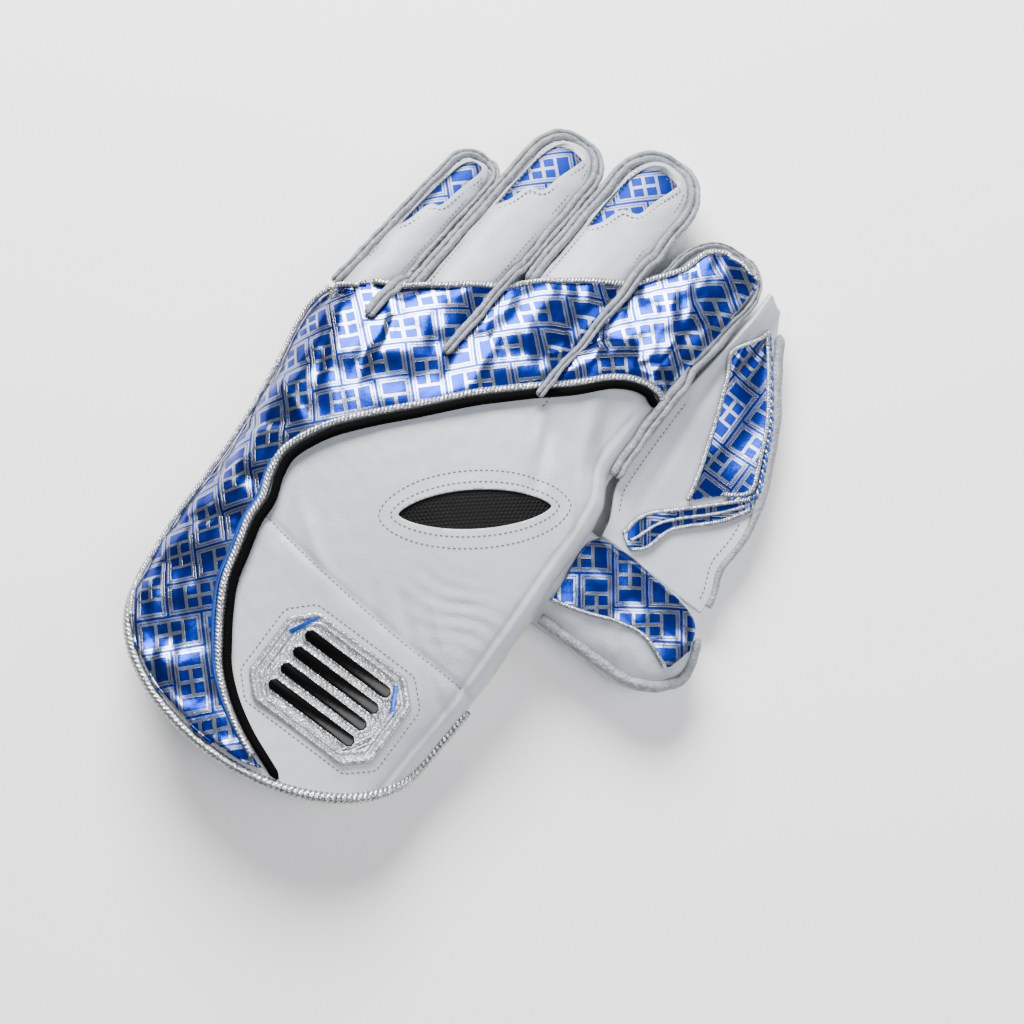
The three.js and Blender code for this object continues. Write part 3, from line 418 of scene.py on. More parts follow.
def evenPath(points, step):
    p = np.array(points, float)
    far = np.concatenate([[0], np.cumsum(np.linalg.norm(np.diff(p, axis=0), axis=1))])
    at = np.linspace(0, far[-1], max(3, int(round(far[-1] / step)) + 1))
    return np.column_stack([np.interp(at, far, p[:, k]) for k in range(p.shape[1])]), at


def tube(points, radius, sides=8, high=None):
    # a round or oval tube with closed ends; radius may change along the path
    p = np.array(points, float)
    way = np.gradient(p, axis=0)
    way /= np.maximum(np.linalg.norm(way, axis=1, keepdims=True), 1e-9)
    aside = np.cross(way, [0, 0, 1.0])
    aside /= np.maximum(np.linalg.norm(aside, axis=1, keepdims=True), 1e-9)
    up = np.cross(aside, way)
    wide = np.broadcast_to(radius, len(p))[:, None, None]
    tall = np.broadcast_to(radius if high is None else high, len(p))[:, None, None]
    turn = 2 * np.pi * np.arange(sides) / sides
    rings = (p[:, None] + wide * np.cos(turn)[None, :, None] * aside[:, None]
             + tall * np.sin(turn)[None, :, None] * up[:, None])
    last = (len(p) - 1) * sides
    faces = gridFaces(len(p), sides, closed=True, flip=True)
    faces += [tuple(range(sides)), tuple(range(last, last + sides))[::-1]]
    return rings.reshape(-1, 3), faces


def rope(points, radius, pitch, strands=3, sides=6):
    # twisted strands round a path, each a little over half of the rope's radius
    p, at = evenPath(points, pitch / 9)
    way = np.gradient(p, axis=0)
    way /= np.linalg.norm(way, axis=1, keepdims=True)
    aside = np.cross(way, [0, 0, 1.0])
    aside /= np.linalg.norm(aside, axis=1, keepdims=True)
    up = np.cross(aside, way)
    fill = 0.56
    parts = []
    for k in range(strands):
        turn = (2 * np.pi * (at / pitch + k / strands))[:, None]
        centre = p + radius * (1 - fill) * (np.cos(turn) * aside + np.sin(turn) * up)
        parts.append(tube(centre, radius * fill, sides))
    return parts


def joinedPiece(name, parts, slot, nodes, material, smooth=True):
    # one piece from tubes, strands or blocks given in millimetres
    faces, start = [], 0
    for verts, partFaces in parts:
        faces += [tuple(i + start for i in face) for face in partFaces]
        start += len(verts)
    verts = toRow(np.concatenate([verts for verts, _ in parts]))
    return newPiece(name, verts, faces, slot, nodes, material, smooth=smooth)


def toLeft(path):
    # unit steps in plan, to the left of the way along a path
    way = np.gradient(path, axis=0)
    left = np.column_stack([-way[:, 1], way[:, 0]])
    return left / np.linalg.norm(left, axis=1, keepdims=True)


def besideLine(x, y, x0, y0, x1, y1):
    # how far along a straight line, from 0 to 1, and how far from it
    alongX, alongY = x1 - x0, y1 - y0
    t = np.clip(((x - x0) * alongX + (y - y0) * alongY) / (alongX**2 + alongY**2), 0, 1)
    return t, np.hypot(x - x0 - t * alongX, y - y0 - t * alongY)


# a stout saddle stitch, in millimetres
stitch = {"length": 1.35, "pitch": 2.2, "radius": 0.27, "rise": 0.16, "dip": 0.4}


def stitches(points):
    # short arched threads that dip into the leather at both ends
    p, _ = evenPath(points, stitch["pitch"])
    way = np.gradient(p, axis=0)
    way /= np.linalg.norm(way, axis=1, keepdims=True)
    share = np.array([-1.0, -0.6, 0.0, 0.6, 1.0])
    parts = []
    for spot, forward in zip(p, way):
        arched = [0, 0, 1] * (stitch["rise"] - stitch["dip"] * share**4)[:, None]
        line = spot + forward * (share * stitch["length"] / 2)[:, None] + arched
        parts.append(tube(line, stitch["radius"] * np.array([0.5, 0.95, 1.0, 0.95, 0.5]), 6))
    return parts


def patch(outline, first, second, at, rows, columns):
    # a sheet ruled between the two sides of an outline, and the points of those sides
    n = len(outline)
    one = [outline[i % n] for i in range(first, second + 1)]
    other = [outline[i % n] for i in range(first + n, second - 1, -1)]
    one, other = (evenCount(spline(side, 80), rows) for side in (one, other))
    t = np.linspace(0, 1, columns)[None, :, None]
    plane = one[:, None] * (1 - t) + other[:, None] * t
    return at(plane[..., 0], plane[..., 1])


def evenCount(points, count):
    far = np.concatenate([[0], np.cumsum(np.linalg.norm(np.diff(points, axis=0), axis=1))])
    at = np.linspace(0, far[-1], count)
    return np.column_stack([np.interp(at, far, points[:, k]) for k in range(points.shape[1])])


def sheetPiece(name, points, slot, nodes, material, thickness, uv=None, towards=None):
    # a leather sheet from a grid of points in millimetres, its outer face up or away from a point
    normal = normalsOf(points)
    side = [0, 0, 1] if towards is None else points - towards
    flip = np.sum(normal * side) < 0
    rows, columns = points.shape[:2]
    piece = newPiece(name, toRow(points).reshape(-1, 3), gridFaces(rows, columns, flip=flip), slot, nodes,
                     material, None if uv is None else np.reshape(uv, (-1, 2)))
    thicken(piece, thickness)
    return piece


def wrinkle(x, y, seed, size):
    # smooth unevenness, about -1 to 1, with bumps of a given size in millimetres
    dice = np.random.default_rng(seed)
    total, count = 0, 7
    for _ in range(count):
        angle, phase, stretch = dice.uniform(0, np.pi), dice.uniform(0, 6.28), dice.uniform(0.7, 1.6)
        total = total + np.sin((x * np.cos(angle) + y * np.sin(angle)) * 6.28 / (size * stretch) + phase)
    return total / count**0.5 / 1.4


backPanel = {
    "leather": 2.4,
    "gridSize": 165,
    "creaseGain": 2.1,
    # seed, height and size of each unevenness
    "swells": ((4, 0.5, 46), (5, 0.1, 9)),
    "grooveDepth": 0.9,
    "grooveWidth": 1.5,
    "ruffleHeight": 0.34,
    "hemHeight": 0.55,
    "hemGroove": 0.35,
    # ends, half width and depth of the creases in millimetres, depth negative for a ridge
    "creases": [
        (38, -3, 52, -30, 3.5, 0.8), (52, 26, 66, -2, 5.0, 1.3), (46, 20, 60, -12, 3.5, -0.7),
        (56, -8, 70, -26, 2.6, 0.7), (62, -14, 74, -40, 3.4, -0.8), (33, 2, 41, -14, 2.2, -0.5),
        (-20, -92, 6, -108, 3.0, -0.6), (20, -98, 38, -118, 2.0, 0.35), (30, -94, 52, -112, 2.4, 0.4),
        (44, -90, 62, -104, 2.4, -0.45), (-30, -88, -18, -112, 3.0, 0.5), (56, -112, 72, -122, 3.0, 0.5),
    ],
    "wristLine": [(-34, -101), (-10, -105), (16, -108), (44, -110), (73, -110)],
}


def backRelief(x, y):
    # padding, creases, the groove at the wrist, fine ruffles near the thumb and the hem
    out = sum(high * wrinkle(x, y, seed, size) for seed, high, size in backPanel["swells"])
    for *ends, wide, deep in backPanel["creases"]:
        t, away = besideLine(x, y, *ends)
        fade = np.sin(np.pi * np.clip(t * 0.9 + 0.05, 0, 1)) ** 0.5
        out = out - backPanel["creaseGain"] * deep * np.exp(-(away / wide) ** 2) * fade
    wrist = np.interp(x, *zip(*backPanel["wristLine"]))
    groove = backPanel["grooveDepth"] * np.exp(-((y - wrist) / backPanel["grooveWidth"]) ** 2)
    out = out - groove + 0.5 * np.exp(-((y - wrist + 6) / 5) ** 2)
    ruffled = np.exp(-((y + 86) / 13) ** 2) * np.exp(-((x - 54) / 19) ** 2)
    ruffles = np.sin(y * 0.95 - x * 0.3 + 1.6 * np.sin(x * 0.17))
    out = out + backPanel["ruffleHeight"] * ruffled * ruffles
    middle, reach = handAt(y)[:2]
    toRight = middle + reach - x
    hem = backPanel["hemHeight"] * (1 - ease(toRight, 3.2, 4.6))
    hem = hem - backPanel["hemGroove"] * np.exp(-((toRight - 5.2) / 0.9) ** 2)
    return out + hem * ease(-y, -30, -20)


# finishes
def grain(tree, surface, scale, depth, strength=0.6):
    # fine bump from a cell pattern whose cells are scale metres wide
    where = addNode(tree, "ShaderNodeTexCoord")
    place = {"Vector": where.outputs["Object"]}
    cells = addNode(tree, "ShaderNodeTexVoronoi", {"Scale": 1 / scale}, place)
    soft = addNode(tree, "ShaderNodeTexNoise", {"Scale": 0.35 / scale, "Detail": 6.0}, place)
    height = addNode(tree, "ShaderNodeMath", {"operation": "ADD"},
                     {0: cells.outputs[0], 1: soft.outputs[0]})
    bump = addNode(tree, "ShaderNodeBump", {"Strength": strength, "Distance": depth},
                   {"Height": height.outputs[0]})
    tree.links.new(bump.outputs[0], surface.inputs["Normal"])
    return where, soft


def leather(name, pale, dark, roughness, grainSize=0.0011, depth=0.00012, coat=0.12, cloudSize=0.038):
    # pigmented full-grain leather: fine pebble, soft sheen, slightly uneven tone
    material, tree, surface = newMaterial(name, {
        "Roughness": roughness, "IOR": 1.48, "Coat Weight": coat, "Coat Roughness": 0.34})
    where, soft = grain(tree, surface, grainSize, depth)
    cloud = addNode(tree, "ShaderNodeTexNoise", {"Scale": 1 / cloudSize, "Detail": 5.0, "Roughness": 0.62},
                    {"Vector": where.outputs["Object"]})
    tone = addNode(tree, "ShaderNodeMix", {"data_type": "RGBA", 6: hexColour(pale), 7: hexColour(dark)},
                   {0: cloud.outputs[0]})
    tree.links.new(tone.outputs[2], surface.inputs["Base Color"])
    rough = addNode(tree, "ShaderNodeMapRange", {"To Min": roughness - 0.07, "To Max": roughness + 0.1},
                    {"Value": soft.outputs[0]})
    tree.links.new(rough.outputs[0], surface.inputs["Roughness"])
    return material


# the foil's two darker colours are painted shade, mixed in at random to stand in for its dark reflections
foil = {"block": 14.0, "paintedShadeBlue": "#082279", "paintedShadeSilver": "#6d737c"}  # block's short side in mm


def foilPrint(name, turn, blue="#0b2fa6", silver="#c3c8cf", dull=0.0):
    # hot-stamped metal foil on leather: blue panes in silver frames, laid as a herringbone of 2:1
    # blocks. Lengths are millimetres from the block's middle. The foil mirrors the soft light, so the
    # folds show as bright and dark patches.
    block = foil["block"]
    material, tree, surface = newMaterial(name, {"IOR": 1.5})
    laid = addNode(tree, "ShaderNodeUVMap", {"uv_map": "laid"})
    turned = addNode(tree, "ShaderNodeMapping", {"Rotation": (0, 0, math.radians(turn)),
                                                 "Scale": (1000 / block,) * 3}, {"Vector": laid.outputs[0]})
    split = addNode(tree, "ShaderNodeSeparateXYZ", {}, {"Vector": turned.outputs[0]})
    where = addNode(tree, "ShaderNodeTexCoord")
    place = {"Vector": where.outputs["Object"]}
    fine = addNode(tree, "ShaderNodeTexNoise", {"Scale": 420.0, "Detail": 5.0}, place)
    v = {"x": split.outputs[0], "y": split.outputs[1], "fine": fine.outputs[0]}
    # the print's geometry, a math node a row: result, operation, then numbers or earlier results
    steps = [
        ("i", "FLOOR", "x"), ("j", "FLOOR", "y"), ("fx", "FRACT", "x"), ("fy", "FRACT", "y"),
        ("apart", "SUBTRACT", "i", "j"), ("k", "FLOORED_MODULO", "apart", 4.0),
        ("lying", "LESS_THAN", "k", 1.5), ("second", "COMPARE", "k", 1.5, 0.6),
        ("swap", "SUBTRACT", "fx", "fy"), ("part", "MULTIPLY", "swap", "lying"),
        ("along", "ADD", "fy", "part"), ("across", "SUBTRACT", "fx", "part"),
        ("long", "ADD", "along", "second"), ("length", "MULTIPLY_ADD", "long", block, -block),
        ("u", "ABSOLUTE", "length"), ("width", "MULTIPLY_ADD", "across", block, -block / 2),
        ("v", "ABSOLUTE", "width"),
        ("smallU", "COMPARE", "u", 2.9, 2.15), ("smallV", "COMPARE", "v", 2.7, 1.95),
        ("small", "MULTIPLY", "smallU", "smallV"),
        ("tallU", "COMPARE", "u", 9.0, 2.6), ("tallV", "LESS_THAN", "v", 4.65),
        ("tall", "MULTIPLY", "tallU", "tallV"),
        ("endLine", "GREATER_THAN", "u", 13.45), ("sideLine", "GREATER_THAN", "v", 6.45),
        ("ringU", "COMPARE", "u", 12.6, 0.16), ("ringInV", "LESS_THAN", "v", 5.8),
        ("ring1", "MULTIPLY", "ringU", "ringInV"),
        ("ringV", "COMPARE", "v", 5.62, 0.16), ("ringInU", "LESS_THAN", "u", 12.76),
        ("ring2", "MULTIPLY", "ringV", "ringInU"),
        ("a", "MAXIMUM", "small", "tall"), ("b", "MAXIMUM", "endLine", "sideLine"),
        ("c", "MAXIMUM", "ring1", "ring2"), ("d", "MAXIMUM", "a", "b"), ("ink", "MAXIMUM", "d", "c"),
        ("ridge", "MULTIPLY", "ink", -0.35), ("height", "ADD", "fine", "ridge"),
    ]
    for result, operation, *inputs in steps:
        numbers = {i: value for i, value in enumerate(inputs) if not isinstance(value, str)}
        links = {i: v[value] for i, value in enumerate(inputs) if isinstance(value, str)}
        v[result] = addNode(tree, "ShaderNodeMath", {"operation": operation, **numbers}, links).outputs[0]
    # darker blue and silver in patches about a centimetre wide: painted shade standing in for the foil's
    # dark reflections
    cloud = addNode(tree, "ShaderNodeTexNoise", {"Scale": 90.0, "Detail": 4.0}, place)
    deep, bright = (addNode(tree, "ShaderNodeMix", {"data_type": "RGBA", 6: hexColour(a), 7: hexColour(b)},
                            {0: cloud.outputs[0]})
                    for a, b in ((blue, foil["paintedShadeBlue"]), (silver, foil["paintedShadeSilver"])))
    paint = addNode(tree, "ShaderNodeMix", {"data_type": "RGBA"},
                    {0: v["ink"], 6: bright.outputs[2], 7: deep.outputs[2]})
    metal = addNode(tree, "ShaderNodeMapRange", {"To Min": 0.96, "To Max": 0.93}, {"Value": v["ink"]})
    gloss = addNode(tree, "ShaderNodeMapRange", {"To Min": 0.22 + dull, "To Max": 0.27 + dull},
                    {"Value": v["ink"]})
    bump = addNode(tree, "ShaderNodeBump", {"Strength": 0.35, "Distance": 0.0002}, {"Height": v["height"]})
    for socket, node in (("Base Color", paint), ("Metallic", metal), ("Roughness", gloss), ("Normal", bump)):
        tree.links.new(node.outputs[2 if node is paint else 0], surface.inputs[socket])
    return material


def thread(name, pale, dark, metallic, roughness, scale=0.0005, depth=0.00012, specular=0.5):
    # spun yarn: tone and bump change from fibre to fibre
    material, tree, surface = newMaterial(name, {
        "Metallic": metallic, "Roughness": roughness, "Specular IOR Level": specular})
    soft = grain(tree, surface, scale, depth, 0.8)[1]
    tone = addNode(tree, "ShaderNodeMix", {"data_type": "RGBA", 6: hexColour(pale), 7: hexColour(dark)},
                   {0: soft.outputs[0]})
    tree.links.new(tone.outputs[2], surface.inputs["Base Color"])
    return material


# sizes in the finishes are metres; grain under a millimetre is drawn at the size that still shows
# cow leather under white pigment and a thin clear coat: cool white, soft sheen, faint clouds
whiteLeather = leather("whiteLeatherPigmented", "#b9bec6", "#a7adb5", 0.42)
# the same white leather folded and rolled, painted grey all over as shade on the rolls, with near black
# patches at random as painted shade for its creases; creases drawn coarse
weltLeatherPaintedShade = leather("foldedLeatherPaintedShade", "#a3a8af", "#444950", 0.46, grainSize=0.0012, depth=0.0007,
                        coat=0.1, cloudSize=0.005)
# undyed leather of the palm's walls, dry and matt
innerLeather = leather("paleLeatherUnfinished", "#cfd0d0", "#b6b7b8", 0.68, grainSize=0.0007,
                       depth=0.0001, coat=0.0)
# white leather hot-stamped with metal foil: bright blue and silver, nearly a mirror in its highlights, with
# darker blue and silver mixed in at random as painted shade
bandPrint = foilPrint("foilPrintedLeather", -45.2)
sidePrint = foilPrint("foilPrintedLeatherTurned", -36.5)
# the fingertips' inserts lie deep in their windows: their blue and silver are painted darker as shade of the
# recess, and the finish is duller
insertPrintPaintedShade = foilPrint("foilPrintedLeatherInsetPaintedShade", -45.2, "#071c70", "#70767f", 0.24)
# flat metallised yarn, plaited: sparkles from strand to strand, with near black patches at random as painted
# shade for the gaps between strands
braid = thread("silverMetallisedBraid", "#e2e5e9", "#2c3036", 0.8, 0.24)
# woven polyester over a cord: deep matt black
pipingCord = thread("blackPolyesterWoven", "#030303", "#010101", 0.0, 0.8, scale=0.0006, depth=0.0002,
                    specular=0.06)
# bonded nylon sewing thread: smooth mid grey
stitchThread = thread("greyBondedThread", "#767c83", "#4f545a", 0.0, 0.55, scale=0.0003, depth=0.00005)
# the same foil without print, on cut edges and cords
blueFoil = thread("blueFoilEdge", "#2a5fd0", "#0f3795", 0.7, 0.32, scale=0.002, depth=0.0001)
# knitted spacer mesh: black, fuzzy, no shine
meshCloth = thread("blackSpacerMesh", "#070708", "#010101", 0.0, 0.65, scale=0.0004, depth=0.0001,
                   specular=0.15)
# moulded natural rubber with pimples: matt, evenly bumpy
rubber = leather("mouldedRubberPimpled", "#2b59b5", "#21488f", 0.62, grainSize=0.004, depth=0.0006,
                 coat=0.0)
# moulded silicone with pearl pigment: satin, like brushed silver
pearlPlastic = thread("pearlSiliconeMoulded", "#dfe3e8", "#6f757d", 0.6, 0.27, scale=0.0012, depth=0.0003)
# moulded silicone, gloss black: dark with a clear edge light
glossBlack = thread("blackSiliconeGloss", "#030304", "#010101", 0.0, 0.22, scale=0.004, depth=0.00003,
                    specular=0.2)
print("materials done")


# back of the hand
badge = {
    "middle": np.array([half * 0.42, -handLength * 0.75]),
    "halfSize": np.array([31.0, 22.0]),
    "cornerCut": 1.8,
    "seat": 0.45,
    "barPitch": 8.1,
    # half lengths and half depths of a bar and of the frame round it, then foot and height
    "bar": ((21, 19.5, 1.0, 2.45), 1.1, 1.7),
    "barFrame": ((22.2, 20.1, 1.4, 3.5), 0.7, 1.3),
    # outline scale and height of the moulded steps, from the rim inwards
    "profile": [(1.0, 0.0), (0.995, 1.5), (0.97, 2.1), (0.93, 2.1), (0.905, 0.8), (0.875, 0.8),
                (0.86, 1.7), (0.825, 1.7), (0.8, 0.5), (0.55, 0.52), (0.25, 0.54), (0.02, 0.55)],
}
vent = {
    "middle": np.array([half * 0.47, -handLength * 0.26]),
    "long": 62.0,
    "wide": 16.0,
    "turn": math.radians(41),
    "sink": 1.2,
    "strandHeight": 0.28,
    "stitchRows": ((3.4, 1.25), (8.2, 1.15)),  # how far outside the leaf, and its pointedness
}


def leaf(grow, count=96, power=1.35):
    a = 2 * np.pi * np.arange(count + 1) / count
    x = (vent["long"] / 2 + grow) * np.cos(a)
    y = (vent["wide"] / 2 + grow) * np.sign(np.sin(a)) * np.abs(np.sin(a)) ** power
    c, s = math.cos(vent["turn"]), math.sin(vent["turn"])
    return np.column_stack([x * c - y * s, x * s + y * c]) + vent["middle"]


def badgeOutline(scale):
    # eight-sided outline with softened corners
    corners = np.array([(-0.72, -1), (0.72, -1), (1, -0.62), (1, 0.62), (0.72, 1), (-0.72, 1),
                        (-1, 0.62), (-1, -0.62)]) * badge["halfSize"]
    points = []
    for i in range(8):
        before, here, after = corners[i - 1], corners[i], corners[(i + 1) % 8]
        one = here + (before - here) / np.linalg.norm(before - here) * badge["cornerCut"]
        two = here + (after - here) / np.linalg.norm(after - here) * badge["cornerCut"]
        t = np.linspace(0, 1, 7)[:, None]
        points += list((1 - t) ** 2 * one + 2 * t * (1 - t) * here + t * t * two)
    return badge["middle"] + np.array(points) * scale


def signedArea(outline):
    x, y = np.array(outline).T
    return np.sum(x * np.roll(y, -1) - np.roll(x, -1) * y)


def blockFaces(outline):
    # side, bottom and top faces of a block over a plan outline, facing outwards
    n = len(outline)
    faces = [(i, (i + 1) % n, n + (i + 1) % n, n + i) for i in range(n)]
    faces += [tuple(range(n))[::-1], tuple(range(n, 2 * n))]
    return faces if signedArea(outline) > 0 else [f[::-1] for f in faces]


def cutter(name, outline, low, high):
    # a block over a plan outline, used once to cut a window and then removed
    n = len(outline)
    points = np.array([(x, y, z) for z in (low, high) for x, y in outline])
    faces = blockFaces(outline)
    rows = toRow(points)
    rows[:n, 2], rows[n:, 2] = rows[:n, 2].mean(), rows[n:, 2].mean()
    mesh = bpy.data.meshes.new(name)
    mesh.from_pydata([tuple(p) for p in rows], [], faces)
    block = bpy.data.objects.new(name, mesh)
    bpy.context.scene.collection.objects.link(block)
    return block


def cutWindow(piece, block):
    cut = piece.modifiers.new("window", "BOOLEAN")
    cut.operation = "DIFFERENCE"
    cut.solver = "MANIFOLD"
    cut.object = block
    applyAll(piece)
    bpy.data.objects.remove(block)


def applyAll(piece):
    depsgraph = bpy.context.evaluated_depsgraph_get()
    mesh = bpy.data.meshes.new_from_object(piece.evaluated_get(depsgraph), depsgraph=depsgraph)
    piece.modifiers.clear()
    old = piece.data
    piece.data = mesh
    bpy.data.meshes.remove(old)


def buildBack():
    share = np.linspace(0, 1, backPanel["gridSize"])
    u, v = np.meshgrid(share, share)
    s = -np.sin(np.pi * (u - 0.5))
    end = -(cuffCorner + glove["cuffRound"] * np.sqrt(np.clip(1 - s * s, 0, 1)))
    middle0, reach0 = handAt(np.array(0.0))[:2]
    y = mix(frontAt(middle0 + reach0 * s), end, v)
    middle, reach = handAt(y)[:2]
    x = middle + reach * s
    flat = np.stack([x, y, backTop(x, y)], -1)
    normal = normalsOf(flat)
    normal *= np.sign(normal[80, 80, 2])
    points = flat + normal * backRelief(x, y)[..., None]
    piece = sheetPiece("backPanelLeather", points, "white_leather", ["back_panel"], whiteLeather,
                       backPanel["leather"])
    cutWindow(piece, cutter("ventCutter", leaf(0.3)[:-1], 20.0, 90.0))
    piece.data.shade_smooth()


buildBack()
print("back done")


def buildVent():
    # knitted mesh below the opening, a grid of raised strands
    a, b = np.meshgrid(np.linspace(-1, 1, 200), np.linspace(-1, 1, 50))
    long, wide = vent["long"] / 2 + 0.8, vent["wide"] / 2 + 0.8
    lx = long * np.sin(a * np.pi / 2)
    ly = wide * b * np.abs(np.cos(a * np.pi / 2)) ** 1.35
    c, s = math.cos(vent["turn"]), math.sin(vent["turn"])
    x, y = vent["middle"][0] + lx * c - ly * s, vent["middle"][1] + lx * s + ly * c
    strands = np.maximum(np.cos(lx * 3.6 + ly * 2.1), np.cos(lx * 3.6 - ly * 2.1))
    points = np.stack([x, y, backTop(x, y) - vent["sink"] + vent["strandHeight"] * strands], -1)
    sheetPiece("ventMesh", points, "black_mesh", ["mesh_vent"], meshCloth, 0.5)


buildVent()

stitchParts = []


def stitchBack():
    # rows round the vent and the plate, and one along the wrist
    lines = [leaf(grow, 200, power) for grow, power in vent["stitchRows"]]
    plate = badgeOutline(1.1)
    plate = np.vstack([plate, plate[:1]])
    lines.append(evenPath(plate, 1.0)[0])
    lines.append(spline(backPanel["wristLine"], 90))
    for line in lines:
        stitchParts.extend(stitches(backAt(line[:, 0], line[:, 1])))


stitchBack()


def barOutline(long, flat, edge, deep):
    # half lengths and half depths of a bar with cut corners
    return [(-long, -edge), (-flat, -deep), (flat, -deep), (long, -edge),
            (long, edge), (flat, deep), (-flat, deep), (-long, edge)]


def buildBadge():
    # moulded plate with plain bars, rim inside rim
    rings = []
    for scale, height in badge["profile"]:
        plan = badgeOutline(scale)
        rings.append(np.column_stack([plan, backTop(plan[:, 0], plan[:, 1]) + badge["seat"] + height]))
    rings = np.array(rings)
    rows, columns = rings.shape[:2]
    faces = gridFaces(rows, columns, closed=True)
    faces.append(tuple(range((rows - 1) * columns, rows * columns)))
    piece = newPiece("badgePlate", toRow(rings).reshape(-1, 3), faces, "badge_plastic", ["badge"],
                     pearlPlastic)
    soften = piece.modifiers.new("soften", "BEVEL")
    soften.width, soften.segments = 0.00022, 2
    soften.limit_method, soften.angle_limit = "ANGLE", 0.5
    bars, accents, surrounds = [], [], []
    for i in range(4):
        middle = (badge["middle"][0], badge["middle"][1] + badge["barPitch"] * (i - 1.5))
        for row, (sizes, foot, high) in ((bars, badge["bar"]), (surrounds, badge["barFrame"])):
            row.append(raised(barOutline(*sizes), middle, foot, high))
    for mirror in (1, -1):
        up = 2.6 if mirror == 1 else 0.0
        mark = [(-27.4, 6.2 + up), (-21.6, 17.4 + up), (-20.0, 16.5 + up), (-25.8, 5.3 + up)]
        accents.append(raised([(px * mirror, py) for px, py in mark], badge["middle"], 1.2, 1.1))
        for inset in (0.0, 2.4):
            ridge = [(-27.6 + inset, -5.6), (-21.4 + inset, -17.0),
                     (-20.6 + inset, -16.6), (-26.8 + inset, -5.2)]
            surrounds.append(raised([(px * mirror, py) for px, py in ridge], badge["middle"], 0.8, 1.5))
    joinedPiece("badgeSurrounds", surrounds, "badge_plastic", [], pearlPlastic, smooth=False)
    joinedPiece("badgeBars", bars, "badge_gloss", [f"badge_bar_{i}" for i in (1, 2, 3, 4)], glossBlack,
                smooth=False)
    joinedPiece("badgeAccents", accents, "printed_leather", [], blueFoil, smooth=False)
    for name in ("badgeBars", "badgeAccents", "badgeSurrounds"):
        soften = bpy.data.objects[name].modifiers.new("soften", "BEVEL")
        soften.width, soften.segments = 0.00015 if name == "badgeAccents" else 0.0004, 3
        bpy.data.objects[name].data.shade_smooth()


def raised(outline, middle, foot, high):
    # a low block that follows the back under its outline
    plan = np.array(outline) + middle
    low = backTop(plan[:, 0], plan[:, 1]) + foot
    verts = np.vstack([np.column_stack([plan, low]), np.column_stack([plan, low + high])])
    return verts, blockFaces(plan)


buildBadge()
print("badge done")


# printed band and its trims, lengths in millimetres
band = {
    "leather": 1.2,
    "lift": 3.0,
    "puff": 0.8,
    "deepestFold": 1.3,
    # seed, height and size of each unevenness
    "swells": ((11, 0.95, 21), (12, 0.22, 8), (13, 0.05, 3)),
    # ends, half width and depth of the folds, depth negative for a ridge
    "folds": [
        (-46, -6, -38, -34, 3.0, 1.4), (-40, -4, -31, -30, 2.4, -1.1), (-12, 12, -6, -12, 3.0, 1.3),
        (-2, 16, 4, -8, 2.6, -1.0), (24, 36, 30, 12, 3.2, 1.5), (33, 42, 41, 18, 2.6, -1.2),
        (46, 52, 56, 30, 3.0, 1.5), (58, 60, 60, 34, 2.6, -1.2), (48, 30, 62, 40, 2.4, 1.2),
        (-66, -74, -50, -66, 2.8, 1.2), (-62, -52, -46, -60, 2.6, -1.1), (-66, -96, -46, -92, 3.2, 1.3),
        (-58, -118, -42, -108, 3.0, 1.2), (-56, -30, -48, -48, 2.6, 1.1),
    ],
    # radius and pitch of the twisted trims
    "innerRope": (1.9, 5.0),
    "frontRope": (1.55, 4.4),
    "sideRope": (1.3, 4.2),
    "frontRise": 1.3,
    "blueEdgeRadius": 0.85,
}


def buildBand():
    u, t = np.meshgrid(np.linspace(0, 1, 48), np.linspace(0, 1, 360))
    points = bandPoint(u, t, band["lift"])
    normal = normalsOf(points)
    normal *= np.sign(normal[250, 24, 2])
    edge = np.sin(np.pi * np.clip(u, 0, 1)) ** 0.5 * ease(1 - t, 0.01, 0.09)
    x, y = points[..., 0], points[..., 1]
    swell = sum(high * wrinkle(x, y, seed, size) for seed, high, size in band["swells"])
    for *ends, wide, deep in band["folds"]:
        swell = swell - deep * np.exp(-(besideLine(x, y, *ends)[1] / wide) ** 2)
    puff = band["puff"] * np.sin(np.pi * u) * ease(1 - t, 0.0, 0.08)
    points = points + normal * (np.maximum(swell * edge, -band["deepestFold"]) + puff)[..., None]
    # the print is unrolled outwards from the piping, so that it wraps round the side of the hand
    run = np.linalg.norm(np.diff(points[:, ::-1], axis=1), axis=2)
    run = np.hstack([np.zeros((len(points), 1)), np.cumsum(run, axis=1)])[:, ::-1]
    outward = points[:, 0, :2] - points[:, -1, :2]
    outward /= np.linalg.norm(outward, axis=1, keepdims=True)
    reach = 30
    blur = np.ones(2 * reach + 1) / (2 * reach + 1)
    padded = np.pad(outward, ((reach, reach), (0, 0)), mode="edge")
    outward = np.column_stack([np.convolve(padded[:, k], blur, "valid") for k in (0, 1)])
    uv = points[:, -1:, :2] + outward[:, None] * run[..., None]
    sheetPiece("printedBand", points, "printed_leather", ["print_band"], bandPrint, band["leather"], uv)


def bandEdge(u, lift, low, high):
    t = np.linspace(low, high, 400)
    return bandPoint(np.full(400, u), t, lift)


